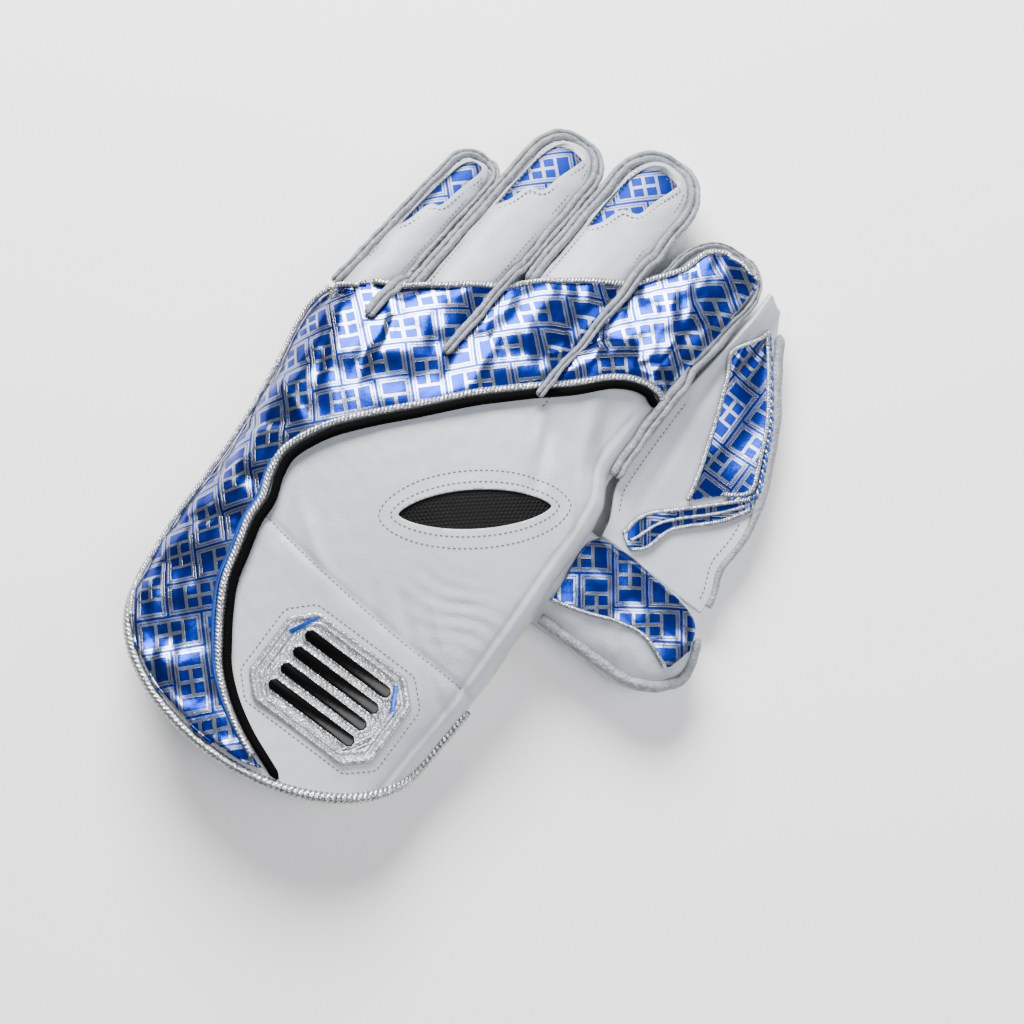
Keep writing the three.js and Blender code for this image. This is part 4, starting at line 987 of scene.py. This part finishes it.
def buildBandTrims():
    trims = rope(bandEdge(1.0, 3.1, 0.02, 0.935), *band["innerRope"])
    # the rope along the front starts higher and comes down to the band
    front = bandEdge(0.03, 3.5, 0.605, 0.99)
    front[:, 2] += band["frontRise"] * (1 - ease(np.linspace(0, 1, len(front)), 0.08, 0.2))
    trims += rope(front, *band["frontRope"])
    trims += rope(bandEdge(0.12, 4.5, 0.22, 0.6), *band["sideRope"])
    joinedPiece("bandBraid", trims, "silver_braid", [], braid)
    blueEdge = evenPath(bandEdge(0.955, 3.5, 0.03, 0.47), 0.8)[0]
    joinedPiece("bandBlueEdge", [tube(blueEdge, band["blueEdgeRadius"], 8)], "printed_leather", [], blueFoil)


piping = {
    "radius": 1.8,
    "aside": 3.3,
    "lift": 2.9,
    "ribPitch": 1.3,
    "ribHeight": 0.06,
    "runOn": 10.5,
    "sink": 2.3,
    "sinkLength": 10,
}


def buildPiping():
    t = 0.01 + 0.935 * np.linspace(0, 1, 520)
    x, y = bandCurve(t, 1)
    wayX, wayY = np.gradient(x), np.gradient(y)
    size = np.hypot(wayX, wayY)
    px, py = x + wayY / size * piping["aside"], y - wayX / size * piping["aside"]
    ahead = np.linspace(piping["runOn"], 0.5, 14)
    px = np.concatenate([px[0] - wayX[0] / size[0] * ahead, px])
    py = np.concatenate([py[0] - wayY[0] / size[0] * ahead, py])
    path, at = evenPath(np.column_stack([px, py, underBand(px, py) + piping["lift"]]), 0.4)
    # the end at the cuff sinks under the braid
    path[:, 2] -= piping["sink"] * (1 - ease(at, 0, piping["sinkLength"]))
    ribs = piping["ribHeight"] * np.sin(at * 2 * np.pi / piping["ribPitch"])
    radius = (piping["radius"] + ribs) * np.sqrt(np.clip(at / 3, 0.12, 1))
    joinedPiece("blackPiping", [tube(path, radius, 14)], "black_piping", ["band_piping"], pipingCord)


buildBand()
buildBandTrims()
buildPiping()
print("band done")


# fingers
stall = {"leather": 2.2, "seamDepth": 0.9, "seamAt": 0.87, "stitchAngles": (0.3, 0.7)}
window = {
    "length": 46,
    "insertLeather": 0.7,
    "insertDepth": 1.2,
    "stitchGap": 2.2,
    # across in half stall widths, back from the tip in window lengths
    "outline": np.array([
        (-0.69, 1.06), (-0.47, 0.93), (-0.3, 0.71), (0.06, 0.65), (0.17, 0.46), (0.35, 0.14),
        (0.04, 0.07), (-0.36, 0.12), (-0.6, 0.3), (-0.71, 0.62),
    ]),
}


def domeSteps(count):
    # shares of the way to a rounded tip, closer together towards its end
    return np.sin(np.pi / 2 * np.linspace(0, 1, count)[1:] * 0.985)


def closeTip(p, flip=False):
    # the grid of a stall with its tip closed by a fan
    rows, columns = p.shape[:2]
    faces = gridFaces(rows, columns, closed=True, flip=flip)
    last = (rows - 1) * columns
    for i in range(columns):
        fan = (last + i, last + (i + 1) % columns, rows * columns)
        faces.append(fan[::-1] if flip else fan)
    return toRow(np.vstack([p.reshape(-1, 3), p[-1].mean(axis=0)])), faces


def rootOf(name):
    return float(frontAt(np.array(half * fingers[name]["root"])))


def stallGrid(name, rows, columns):
    reach = fingers[name]["tip"] * fingerReach
    roundFrom = float(stallAt(name, np.array(reach))["roundFrom"])
    rootY = rootOf(name)
    straight = int(rows * 0.74)
    share = np.linspace(0, 1, straight)
    dome = roundFrom + (reach - roundFrom) * domeSteps(rows - straight + 1)
    y = np.concatenate([mix(rootY, roundFrom, share), dome])
    slant = np.concatenate([1 - share, np.zeros(rows - straight)])
    angle = 2 * np.pi * np.arange(columns) / columns
    yy, aa = np.meshgrid(y, angle, indexing="ij")
    p = stallPoint(name, yy, aa)
    p[..., 1] = yy + (frontAt(p[..., 0]) + glove["rootGap"] - rootY) * slant[:, None]
    return p, aa


def windowPlan(name, grow=0.0):
    tipY = fingers[name]["tip"] * fingerReach
    outline = window["outline"]
    points = []
    for across, back in spline(np.vstack([outline, outline[:1]]), 90)[:-1]:
        y = tipY - window["length"] * back
        at = stallAt(name, np.minimum(y, tipY - window["length"] * 0.35))
        points.append((at["x"] + at["wide"] * across, y))
    plan = np.array(points, float)
    if grow:
        way = np.roll(plan, -1, axis=0) - np.roll(plan, 1, axis=0)
        out = np.column_stack([way[:, 1], -way[:, 0]]) / np.linalg.norm(way, axis=1, keepdims=True)
        plan = plan + out * grow * np.sign(signedArea(plan))
    return plan


def stallNormal(p):
    n = np.cross(np.gradient(p, axis=0), np.roll(p, -1, axis=1) - np.roll(p, 1, axis=1))
    n /= np.maximum(np.linalg.norm(n, axis=-1, keepdims=True), 1e-9)
    return n * np.sign(np.sum(n * (p - p.mean(axis=1, keepdims=True))))


def buildStall(name, seed):
    p, angle = stallGrid(name, 100, 104)
    normal = stallNormal(p)
    x, y = p[..., 0], p[..., 1]
    fade = ease(y, y.min(), y.min() + 12)
    dent = 0.4 * wrinkle(x, y, seed, 24) + 0.12 * wrinkle(x, y + p[..., 2], seed + 1, 8)
    onTop = np.clip(np.sin(angle), 0, 1)
    at = stallAt(name, y)
    across = np.abs((x - at["x"]) / np.maximum(at["wide"], 1))
    seam = -stall["seamDepth"] * np.exp(-((across - stall["seamAt"]) / 0.08) ** 2)
    seam = seam * onTop ** 0.3 * ease(y, 10, 30) * (np.sin(angle) > 0)
    p = p + normal * ((dent + seam) * fade)[..., None]
    piece = newPiece(name + "FingerLeather", *closeTip(p, flip=True), "white_leather",
                     [name + "_finger"], whiteLeather)
    thicken(piece, stall["leather"])
    return piece


def buildWindow(name, piece):
    # the opening in a fingertip, the print behind it and the stitches round it
    low = float(stallAt(name, np.array(0.0))["z"])
    cutWindow(piece, cutter(name + "Cutter", windowPlan(name), low, 80.0))
    piece.data.shade_smooth()
    tipY = fingers[name]["tip"] * fingerReach
    for angle in stall["stitchAngles"]:
        y = np.linspace(rootOf(name) + 6, tipY - 10, 200)
        stitchParts.extend(stitches(stallPoint(name, y, np.full(200, angle * np.pi), -0.1)))
    a, b = np.meshgrid(np.linspace(0.36, 0.75, 44) * np.pi, np.linspace(tipY - 52, tipY - 1.6, 90))
    inner = stallPoint(name, b, a, -window["insertDepth"])
    sheetPiece(name + "InsertPrint", inner, "printed_leather", [name + "_insert"], insertPrintPaintedShade,
               window["insertLeather"], inner[..., :2].copy())
    ring = windowPlan(name, window["stitchGap"])
    ring = np.vstack([ring, ring[:1]])
    ring = ring[ring[:, 1] < tipY - 7]
    top = stallTop(name, ring[:, 0], ring[:, 1]) + 0.05
    stitchParts.extend(stitches(np.column_stack([ring, top])))


for number, name in enumerate(fingers):
    stallLeather = buildStall(name, 20 + 3 * number)
    if name != "index":
        buildWindow(name, stallLeather)
print("fingers done")


# rolled welts round the fingers
welt = {
    "radius": 1.5,
    "seat": 0.51,
    "angle": 0.2 * np.pi,
    "outerAngle": 0.17 * np.pi,
    "slim": 1.4,
    "high": 2.2,
    "tailHigh": 1.4,
    "knead": 0.16,
    "overBand": 2.7,
    "overPiping": 2.2,
    "pipingNear": 6.8,
    "stitchGap": 3.1,
}
weltGrow = welt["radius"] + welt["seat"]
pipingLine, edgeLine = (np.column_stack(bandCurve(np.linspace(0, 1, 81), k)) for k in (1, 3))
bandLoop = np.vstack([pipingLine, edgeLine[::-1]])


def nearBand(p, margin):
    # beside or under the printed band, seen from above
    if np.min(np.hypot(*(bandLoop - p[:2]).T)) < margin:
        return True
    a, b = bandLoop, np.roll(bandLoop, 1, axis=0)
    spans = (a[:, 1] > p[1]) != (b[:, 1] > p[1])
    with np.errstate(divide="ignore", invalid="ignore"):
        crossAt = (b[:, 0] - a[:, 0]) * (p[1] - a[:, 1]) / (b[:, 1] - a[:, 1]) + a[:, 0]
    return bool(np.sum(spans & (p[0] < crossAt)) % 2)


def weltPath(name):
    f = fingers[name]
    reach = f["tip"] * fingerReach
    roundFrom = float(stallAt(name, np.array(reach))["roundFrom"])
    outer = name == "index"
    leftAngle = np.pi - welt["angle"]
    rightAngle = welt["outerAngle"] if outer else welt["angle"]
    point = lambda y, angle: stallPoint(name, np.array(float(y)), np.array(angle), weltGrow)
    leftX = point(0, leftAngle)[0]
    near = edgeLine[np.abs(edgeLine[:, 0] - leftX) < half * 0.04]
    start = max([float(frontAt(leftX))] + list(near[:, 1])) + welt["radius"] + 1.8
    left = [point(mix(start, roundFrom, i / 5), leftAngle) for i in range(5)]
    tip = []
    for i in range(9):
        turn = np.pi * i / 8
        y = roundFrom + (reach - roundFrom + weltGrow) * np.sin(turn) * 0.995
        tip.append(point(y, leftAngle if turn < np.pi / 2 else rightAngle))
    right = []
    for i in range(15):
        p = point(mix(f["tail"] * fingerReach, roundFrom, i / 15), rightAngle)
        covered = nearBand(p, welt["radius"] * 5)
        if outer:
            if p[1] < frontAt(p[0]) + welt["radius"] * 6:
                middle, reachX = handAt(p[1])[:2]
                p[0] = max(p[0], middle + reachX + weltGrow + welt["seat"])
        elif covered or p[1] <= frontAt(p[0]):
            lift = welt["overBand"] if covered else 0
            if np.min(np.hypot(*(pipingLine - p[:2]).T)) < welt["pipingNear"]:
                lift += welt["overPiping"]
            lift = lift + weltGrow + welt["seat"] * 1.6
            p[2] = max(p[2], float(underBand(p[0], p[1])) + lift)
        right.append(p)
    return np.array(left + tip + right[::-1])


def roundEnd(far, over):
    # 0 to 1 along a rounded end
    return np.sqrt(np.clip(1 - (1 - np.minimum(far / over, 1)) ** 2, 0.02, 1))


def buildWelt(name, seed):
    path, at = evenPath(spline(weltPath(name), 700), 0.7)
    long = at[-1]
    flat = ease(at, long * 0.62, long * 0.9)
    wave = roundEnd(np.minimum(at, long - at), 2.2) * (1 + 0.07 * wrinkle(at, 0 * at, seed, 9))
    path = path + np.column_stack([0.35 * wrinkle(at, 0 * at, seed + 1, 22), 0 * at, -0.4 * flat])
    broad = fingers[name]["weltWidth"]
    if name == "index":
        broad = mix(welt["slim"], broad, ease(at, long * 0.46, long * 0.56))
    wide = mix(broad, fingers[name]["tailWidth"], flat) * wave
    high = mix(welt["high"], welt["tailHigh"], flat) * wave
    side = np.column_stack([toLeft(path), 0 * at])
    knead = welt["knead"] * wrinkle(at, 0 * at, seed + 2, 4)[:, None]
    inner = path - side * (wide * 0.42)[:, None] + [0, 0, 0.25] + side * knead
    outer = path + side * (wide * 0.62)[:, None] - [0, 0, 0.35] - side * knead
    rolls = [tube(inner, wide * 0.62, 12, high), tube(outer, wide * 0.5, 12, high * 0.86)]
    joinedPiece(name + "Welt", rolls, "white_leather", [name + "_rim"], weltLeatherPaintedShade)
    if name in ("ring", "middle"):
        stitchBesideTail(path[int(len(path) * 0.72):])


def stitchBesideTail(line):
    # the row beside a welt's tail, only where it lies on the white leather
    plan = line[:, :2] + toLeft(line) * welt["stitchGap"]
    plan = plan[[not nearBand(p, 2.5) for p in plan]]
    if len(plan) > 12:
        plan = plan[plan[:, 1] < float(frontAt(plan[:, 0]).max())]
        if len(plan) > 10:
            stitchParts.extend(stitches(backAt(plan[:, 0], plan[:, 1])))


for number, name in enumerate(fingers):
    buildWelt(name, 60 + number)
print("welts done")


# thumb
thumb = {
    "leather": 2.2,
    "printLeather": 1.2,
    "creaseDepth": 1.2,
    "braid": (1.0, 3.4),
    "weltRadius": 2.4,
    "weltAngle": 0.17 * np.pi,
    # out along the thumb, across it in half widths
    "printOutline": np.array([
        (0.08, -0.6), (0.3, -0.42), (0.5, -0.2), (0.68, -0.12), (0.9, -0.34), (0.965, 0.2),
        (0.87, 0.72), (0.55, 0.92), (0.08, 0.92),
    ]),
}


def thumbTop(x, y, grow):
    rim = thumbPoint(x, np.full(np.shape(x), np.pi / 2), grow)
    side = thumbPoint(x, np.zeros(np.shape(x)), grow)
    wide = np.maximum(np.abs(side[..., 1] - thumbMiddle), 0.01)
    share = np.clip(np.abs(y - thumbMiddle) / wide, 0, 1)
    return side[..., 2] + (rim[..., 2] - side[..., 2]) * (1 - share**2.5) ** 0.4


def onThumb(out, across, lift=1.5):
    x = glove["thumbReach"] + glove["thumbLength"] * out
    y = thumbMiddle + glove["thumbWidth"] / 2 * across
    swell = 0.5 * wrinkle(x, y, 31, 15)
    return np.stack([x, y, thumbTop(x, y, lift) + swell], -1)


def buildThumb():
    roundFrom = thumbEnd - glove["thumbWidth"] * 0.5
    along = np.concatenate([np.linspace(thumbRoot, roundFrom, 70),
                            roundFrom + (thumbEnd - roundFrom) * domeSteps(41)])
    angle = -2 * np.pi * np.arange(120) / 120
    p = thumbPoint(*np.meshgrid(along, angle, indexing="ij"))
    x, y, z = p[..., 0], p[..., 1], p[..., 2]
    dent = 0.5 * wrinkle(x, y + z, 33, 26) + 0.14 * wrinkle(x, y, 34, 8)
    crease = -thumb["creaseDepth"] * np.exp(-((z - 13 - 0.06 * (x - 80)) / 1.6) ** 2)
    p = p + stallNormal(p) * (dent + crease)[..., None]
    piece = newPiece("thumbLeather", *closeTip(p), "white_leather", ["thumb"], whiteLeather)
    thicken(piece, thumb["leather"])


def buildThumbTrims():
    outline = thumb["printOutline"]
    panel = patch(outline, 0, 5, onThumb, 120, 60)
    sheetPiece("thumbPrint", panel, "printed_leather", ["thumb_print"], sidePrint,
               thumb["printLeather"], panel[..., :2].copy())
    edge = spline(outline[:5], 160)
    trim = rope(onThumb(edge[:, 0], edge[:, 1], 1.7), *thumb["braid"])
    joinedPiece("thumbBraid", trim, "silver_braid", [], braid)
    # the rolled edge runs out along one side and over the tip
    start = glove["thumbReach"] + glove["thumbLength"] * 0.08
    stops = [(mix(start, thumbEnd, s), thumb["weltAngle"]) for s in (0, 0.25, 0.5, 0.72, 0.88, 0.97)]
    stops += [(thumbEnd + weltGrow * 0.8, thumb["weltAngle"]), (thumbEnd - 2.5, 0.8 * np.pi)]
    line = [thumbPoint(np.array(x), np.array(angle), weltGrow) for x, angle in stops]
    path, at = evenPath(spline(line, 400), 0.7)
    radius = thumb["weltRadius"] * (1 + 0.08 * wrinkle(at, 0 * at, 35, 10)) * roundEnd(at[-1] - at, 9)
    joinedPiece("thumbWelt", [tube(path, radius, 14)], "white_leather", ["thumb_rim"], weltLeatherPaintedShade)


buildThumb()
buildThumbTrims()
print("thumb done")


# web between the index finger and the thumb, places across and along it from 0 to 1
web = {
    "leather": 2.4,
    "printLeather": 1.2,
    "printLift": 1.5,
    "printTurn": 45,
    "foldDepth": 1.6,
    "weltRadius": 2.4,
    "weltThinRadius": 1.5,
    "printOutline": np.array([
        (0.56, 0.12), (0.105, 0.245), (0.245, 0.335), (0.375, 0.455), (0.43, 0.567), (0.475, 0.665),
        (0.5, 0.735), (0.72, 0.65), (0.91, 0.595), (0.93, 0.52), (0.93, 0.417), (0.9, 0.305), (0.82, 0.2),
    ]),
    "stripOutline": np.array([
        (0.14, 0.955), (0.24, 0.885), (0.49, 0.775), (0.71, 0.688), (0.93, 0.612),
        (0.965, 0.64), (0.8, 0.725), (0.55, 0.835), (0.37, 0.94), (0.26, 0.98),
    ]),
    # lift, radius and pitch of the twisted trims
    "printRope": (2.2, 1.15, 3.8),
    "stripRope": (2.1, 1.0, 3.4),
    "middleRope": (1.9, 0.8, 3.0),
    "blueRope": (1.7, 1.2, 4.6),
    # stitch rows: across, from and to along
    "stitchRows": ((0.93, 0.7, 0.96), (0.06, 0.5, 0.9)),
}


def onWeb(across, along, lift=0.0):
    p = webPoint(across, along)
    crest = np.sin(np.pi * np.clip(along, 0, 1))
    fold = web["foldDepth"] * np.exp(-((across - 0.12 - 0.12 * along) / 0.06) ** 2) * crest
    sway = 0.7 * wrinkle(p[..., 0], p[..., 1], 41, 30) * np.sin(np.pi * np.clip(across, 0, 1))
    p[..., 2] += lift + sway - fold
    return p


def onWebPrint(across, along):
    return onWeb(across, along, web["printLift"])


def webRope(line, kind, strands=3):
    lift, radius, pitch = web[kind]
    return rope(onWeb(line[:, 0], line[:, 1], lift), radius, pitch, strands)


def buildWeb():
    u, v = np.meshgrid(np.linspace(0, 1, 100), np.linspace(0.03, 1, 130))
    sheetPiece("webLeather", onWeb(u, v), "white_leather", ["web"], whiteLeather, web["leather"])
    panel = patch(web["printOutline"], 0, 6, onWebPrint, 120, 60)
    c, s = math.cos(math.radians(web["printTurn"])), math.sin(math.radians(web["printTurn"]))
    uv = np.stack([panel[..., 0] * c - panel[..., 1] * s, panel[..., 0] * s + panel[..., 1] * c], -1)
    sheetPiece("webPrint", panel, "printed_leather", ["web_print"], bandPrint, web["printLeather"], uv)
    strip = patch(web["stripOutline"], 0, 4, onWebPrint, 100, 16)
    sheetPiece("webStrip", strip, "printed_leather", ["web_strip"], sidePrint, web["printLeather"],
               strip[..., :2].copy())


def buildWebTrims():
    outline, strip = web["printOutline"], web["stripOutline"]
    upper, lower = spline(strip[:5], 160), spline(strip[5:], 160)
    outerSide = spline(np.vstack([outline[7:], outline[:1]]), 200)
    trims = webRope(spline(outline[:7], 200), "printRope") + webRope(outerSide, "printRope")
    trims += webRope(upper, "stripRope") + webRope(lower, "stripRope")
    trims += webRope(((upper + lower[::-1]) / 2)[8:-8], "middleRope")
    joinedPiece("webBraid", trims, "silver_braid", [], braid)
    blueStrand, silverStrand = webRope(outerSide + [0.055, 0], "blueRope", 2)
    joinedPiece("webBlueCord", [blueStrand], "printed_leather", [], blueFoil)
    joinedPiece("webSilverCord", [silverStrand], "silver_braid", [], braid)
    # rolled edge along the free side
    edge = onWeb(np.ones(260), 0.1 + 0.87 * np.linspace(0, 1, 260))
    edge[:, :2] += toLeft(edge)
    edge[:, 2] -= 0.2
    path, at = evenPath(edge, 0.7)
    slim = mix(web["weltRadius"], web["weltThinRadius"], ease(at, at[-1] * 0.55, at[-1] * 0.75))
    radius = slim * np.sqrt(np.clip(at / 3, 0.05, 1)) * (1 + 0.06 * wrinkle(at, 0 * at, 43, 12))
    joinedPiece("webWelt", [tube(path, radius, 12, 0.92 * radius)], "white_leather", ["web_binding"],
              weltLeatherPaintedShade)
    for across, low, high in web["stitchRows"]:
        stitchParts.extend(stitches(onWeb(np.full(120, across), np.linspace(low, high, 120))))


buildWeb()
buildWebTrims()
print("web done")


# palm, bindings
palm = {"leather": 2.2, "belowSeam": 0.9, "sideSwell": 0.6}
binding = {
    "cuffRope": (2.5, 6.5),
    "cuffOut": 0.9,
    "sideRope": (1.9, 9.0),
    # side, where the braid leaves the cuff's round end and how far it runs, in cuff corners
    "cuffSides": ((-1, 0.93, 0.99), (1, 0.99, 0.79)),
}


def cuffEnd(s, corner, roundness):
    return -(corner + roundness * np.sqrt(np.clip(1 - s * s, 0, 1)))


def buildPalm():
    corner = cuffCorner - glove["palmCuffShort"] + (glove["cuffRound"] - glove["palmCuffRound"]) / 2
    u, v = np.meshgrid(np.linspace(0, 1, 150), np.linspace(0, 1, 110))
    w = 2 * u - 1
    s = np.sign(w) * (1 - (1 - np.abs(w)) ** 2.5)
    middle0, reach0 = handAt(np.array(0.0))[:2]
    y = mix(frontAt(middle0 + reach0 * s), cuffEnd(s, corner, glove["palmCuffRound"]), v)
    middle, reach, _, leftSeam, rightSeam = handAt(y)
    seam = mix(leftSeam, rightSeam, (s + 1) / 2) - palm["belowSeam"]
    fall = (1 - np.abs(s) ** 5) ** 0.2
    points = np.stack([middle + reach * s, y, seam - (seam - tableGap) * fall], -1)
    swell = palm["sideSwell"] * wrinkle(points[..., 1], points[..., 2], 51, 28)
    points[..., 0] += np.sign(s) * np.abs(s) ** 3 * swell
    inside = np.array([0.0, -80.0, 30.0])
    sheetPiece("palmLeather", points, "palm_leather", ["palm"], innerLeather, palm["leather"],
               towards=inside)


def buildBindings():
    # thick braid wrapped round the cuff's free edge, running on up both sides
    s = -np.cos(np.pi * (0.03 + 0.94 * np.linspace(0, 1, 300)))
    y = cuffEnd(s, cuffCorner, glove["cuffRound"])
    middle, reach = handAt(y)[:2]
    x = middle + reach * s
    rounded = np.column_stack([x, y, backTop(x, y) - 1.0])[3:-3]
    sides = []
    for side, low, high in binding["cuffSides"]:
        y = -cuffCorner * np.linspace(low, high, 24)
        middle, reach, _, leftSeam, rightSeam = handAt(y)
        seam = rightSeam if side > 0 else leftSeam
        sides.append(np.column_stack([middle + side * reach, y, seam + 0.6]))
    path, _ = evenPath(np.vstack([sides[0], rounded, sides[1]]), 3.0)
    path = spline(path, 500)
    path[:, :2] -= toLeft(path) * binding["cuffOut"]
    strands = rope(path, *binding["cuffRope"], 3, 9)
    joinedPiece("cuffBraid", strands, "silver_braid", ["cuff_binding"], braid)
    # folded foil edge along the little finger's side
    y = -cuffCorner * (0.02 + 0.88 * np.linspace(0, 1, 240))
    middle, reach, _, leftSeam, _ = handAt(y)
    path = np.column_stack([middle - reach - 0.6, y, leftSeam + 2.2])
    strands = rope(path, *binding["sideRope"], 3, 9)
    joinedPiece("sideBinding", strands[:2], "silver_braid", ["side_binding"], braid)
    joinedPiece("sideBindingBlue", strands[2:], "printed_leather", [], blueFoil)


buildPalm()
buildBindings()
joinedPiece("stitchRows", stitchParts, "silver_braid", [], stitchThread)
for materialSlot in frame["nodes"]["palm_facing"].material_slots:
    materialSlot.link = "OBJECT"
    materialSlot.material = rubber
print("palm and bindings done")


# floor, lights and camera, places in metres
studio = {
    "floorHalf": 4,
    "aim": (0, 0, 0.02),
    # place, size, watts and colour
    "lights": {
        "keySoftbox": ((-0.76, 0.76, 0.98), 1.0, 72.0, "#fffefb"),
        "overheadPanel": ((0.62, -0.2, 1.4), 0.7, 15.0, "#ffffff"),
        "fillSoftbox": ((0.9, 0.5, 0.9), 0.6, 5.0, "#f4f7ff"),
    },
    "surround": "#dfe3e8",
    "surroundStrength": 0.17,
    "azimuth": math.radians(36.5),
    "elevation": math.radians(76.0),
    "lens": 94.0,
    "cameraAt": (0.2051 + shiftX / 1000, -0.253 + shiftY / 1000, 1.1091),
}


def buildFloor():
    # matt seamless paper: an even, nearly white ground
    far = studio["floorHalf"]
    mesh = bpy.data.meshes.new("studioFloor")
    mesh.from_pydata([(-far, -far, 0), (far, -far, 0), (far, far, 0), (-far, far, 0)], [], [(0, 1, 2, 3)])
    paper = newMaterial("paleStudioPaper", {"Base Color": hexColour("#fdfdfd"), "Roughness": 0.8})[0]
    mesh.materials.append(paper)
    floor = bpy.data.objects.new("studioFloor", mesh)
    bpy.context.scene.collection.objects.link(floor)


def addLight(name, place, size, watts, colour):
    light = bpy.data.lights.new(name, "AREA")
    light.shape = "DISK"
    light.size = size
    light.energy = watts
    light.color = hexColour(colour)[:3]
    lamp = bpy.data.objects.new(name, light)
    lamp.location = place
    lamp.rotation_euler = (Vector(studio["aim"]) - Vector(place)).to_track_quat("-Z", "Y").to_euler()
    bpy.context.scene.collection.objects.link(lamp)


def addCamera():
    azimuth, elevation = studio["azimuth"], studio["elevation"]
    right = Vector((math.cos(azimuth), math.sin(azimuth), 0))
    level = math.cos(elevation)
    back = Vector((math.sin(azimuth) * level, -math.cos(azimuth) * level, math.sin(elevation)))
    turned = Matrix((right, back.cross(right), back)).transposed().to_4x4()
    lens = bpy.data.cameras.new("photoCamera")
    lens.lens = studio["lens"]
    lens.sensor_width = 36.0
    lens.clip_start = 0.01
    camera = bpy.data.objects.new("photoCamera", lens)
    camera.matrix_world = Matrix.Translation(studio["cameraAt"]) @ turned
    bpy.context.scene.collection.objects.link(camera)
    bpy.context.scene.camera = camera


buildFloor()
for name, values in studio["lights"].items():
    addLight(name, *values)
world = bpy.data.worlds.new("studio")
bpy.context.scene.world = world
world.use_nodes = True
surround = world.node_tree.nodes["Background"]
surround.inputs["Color"].default_value = hexColour(studio["surround"])
surround.inputs["Strength"].default_value = studio["surroundStrength"]
addCamera()
print("floor, lights and camera done")
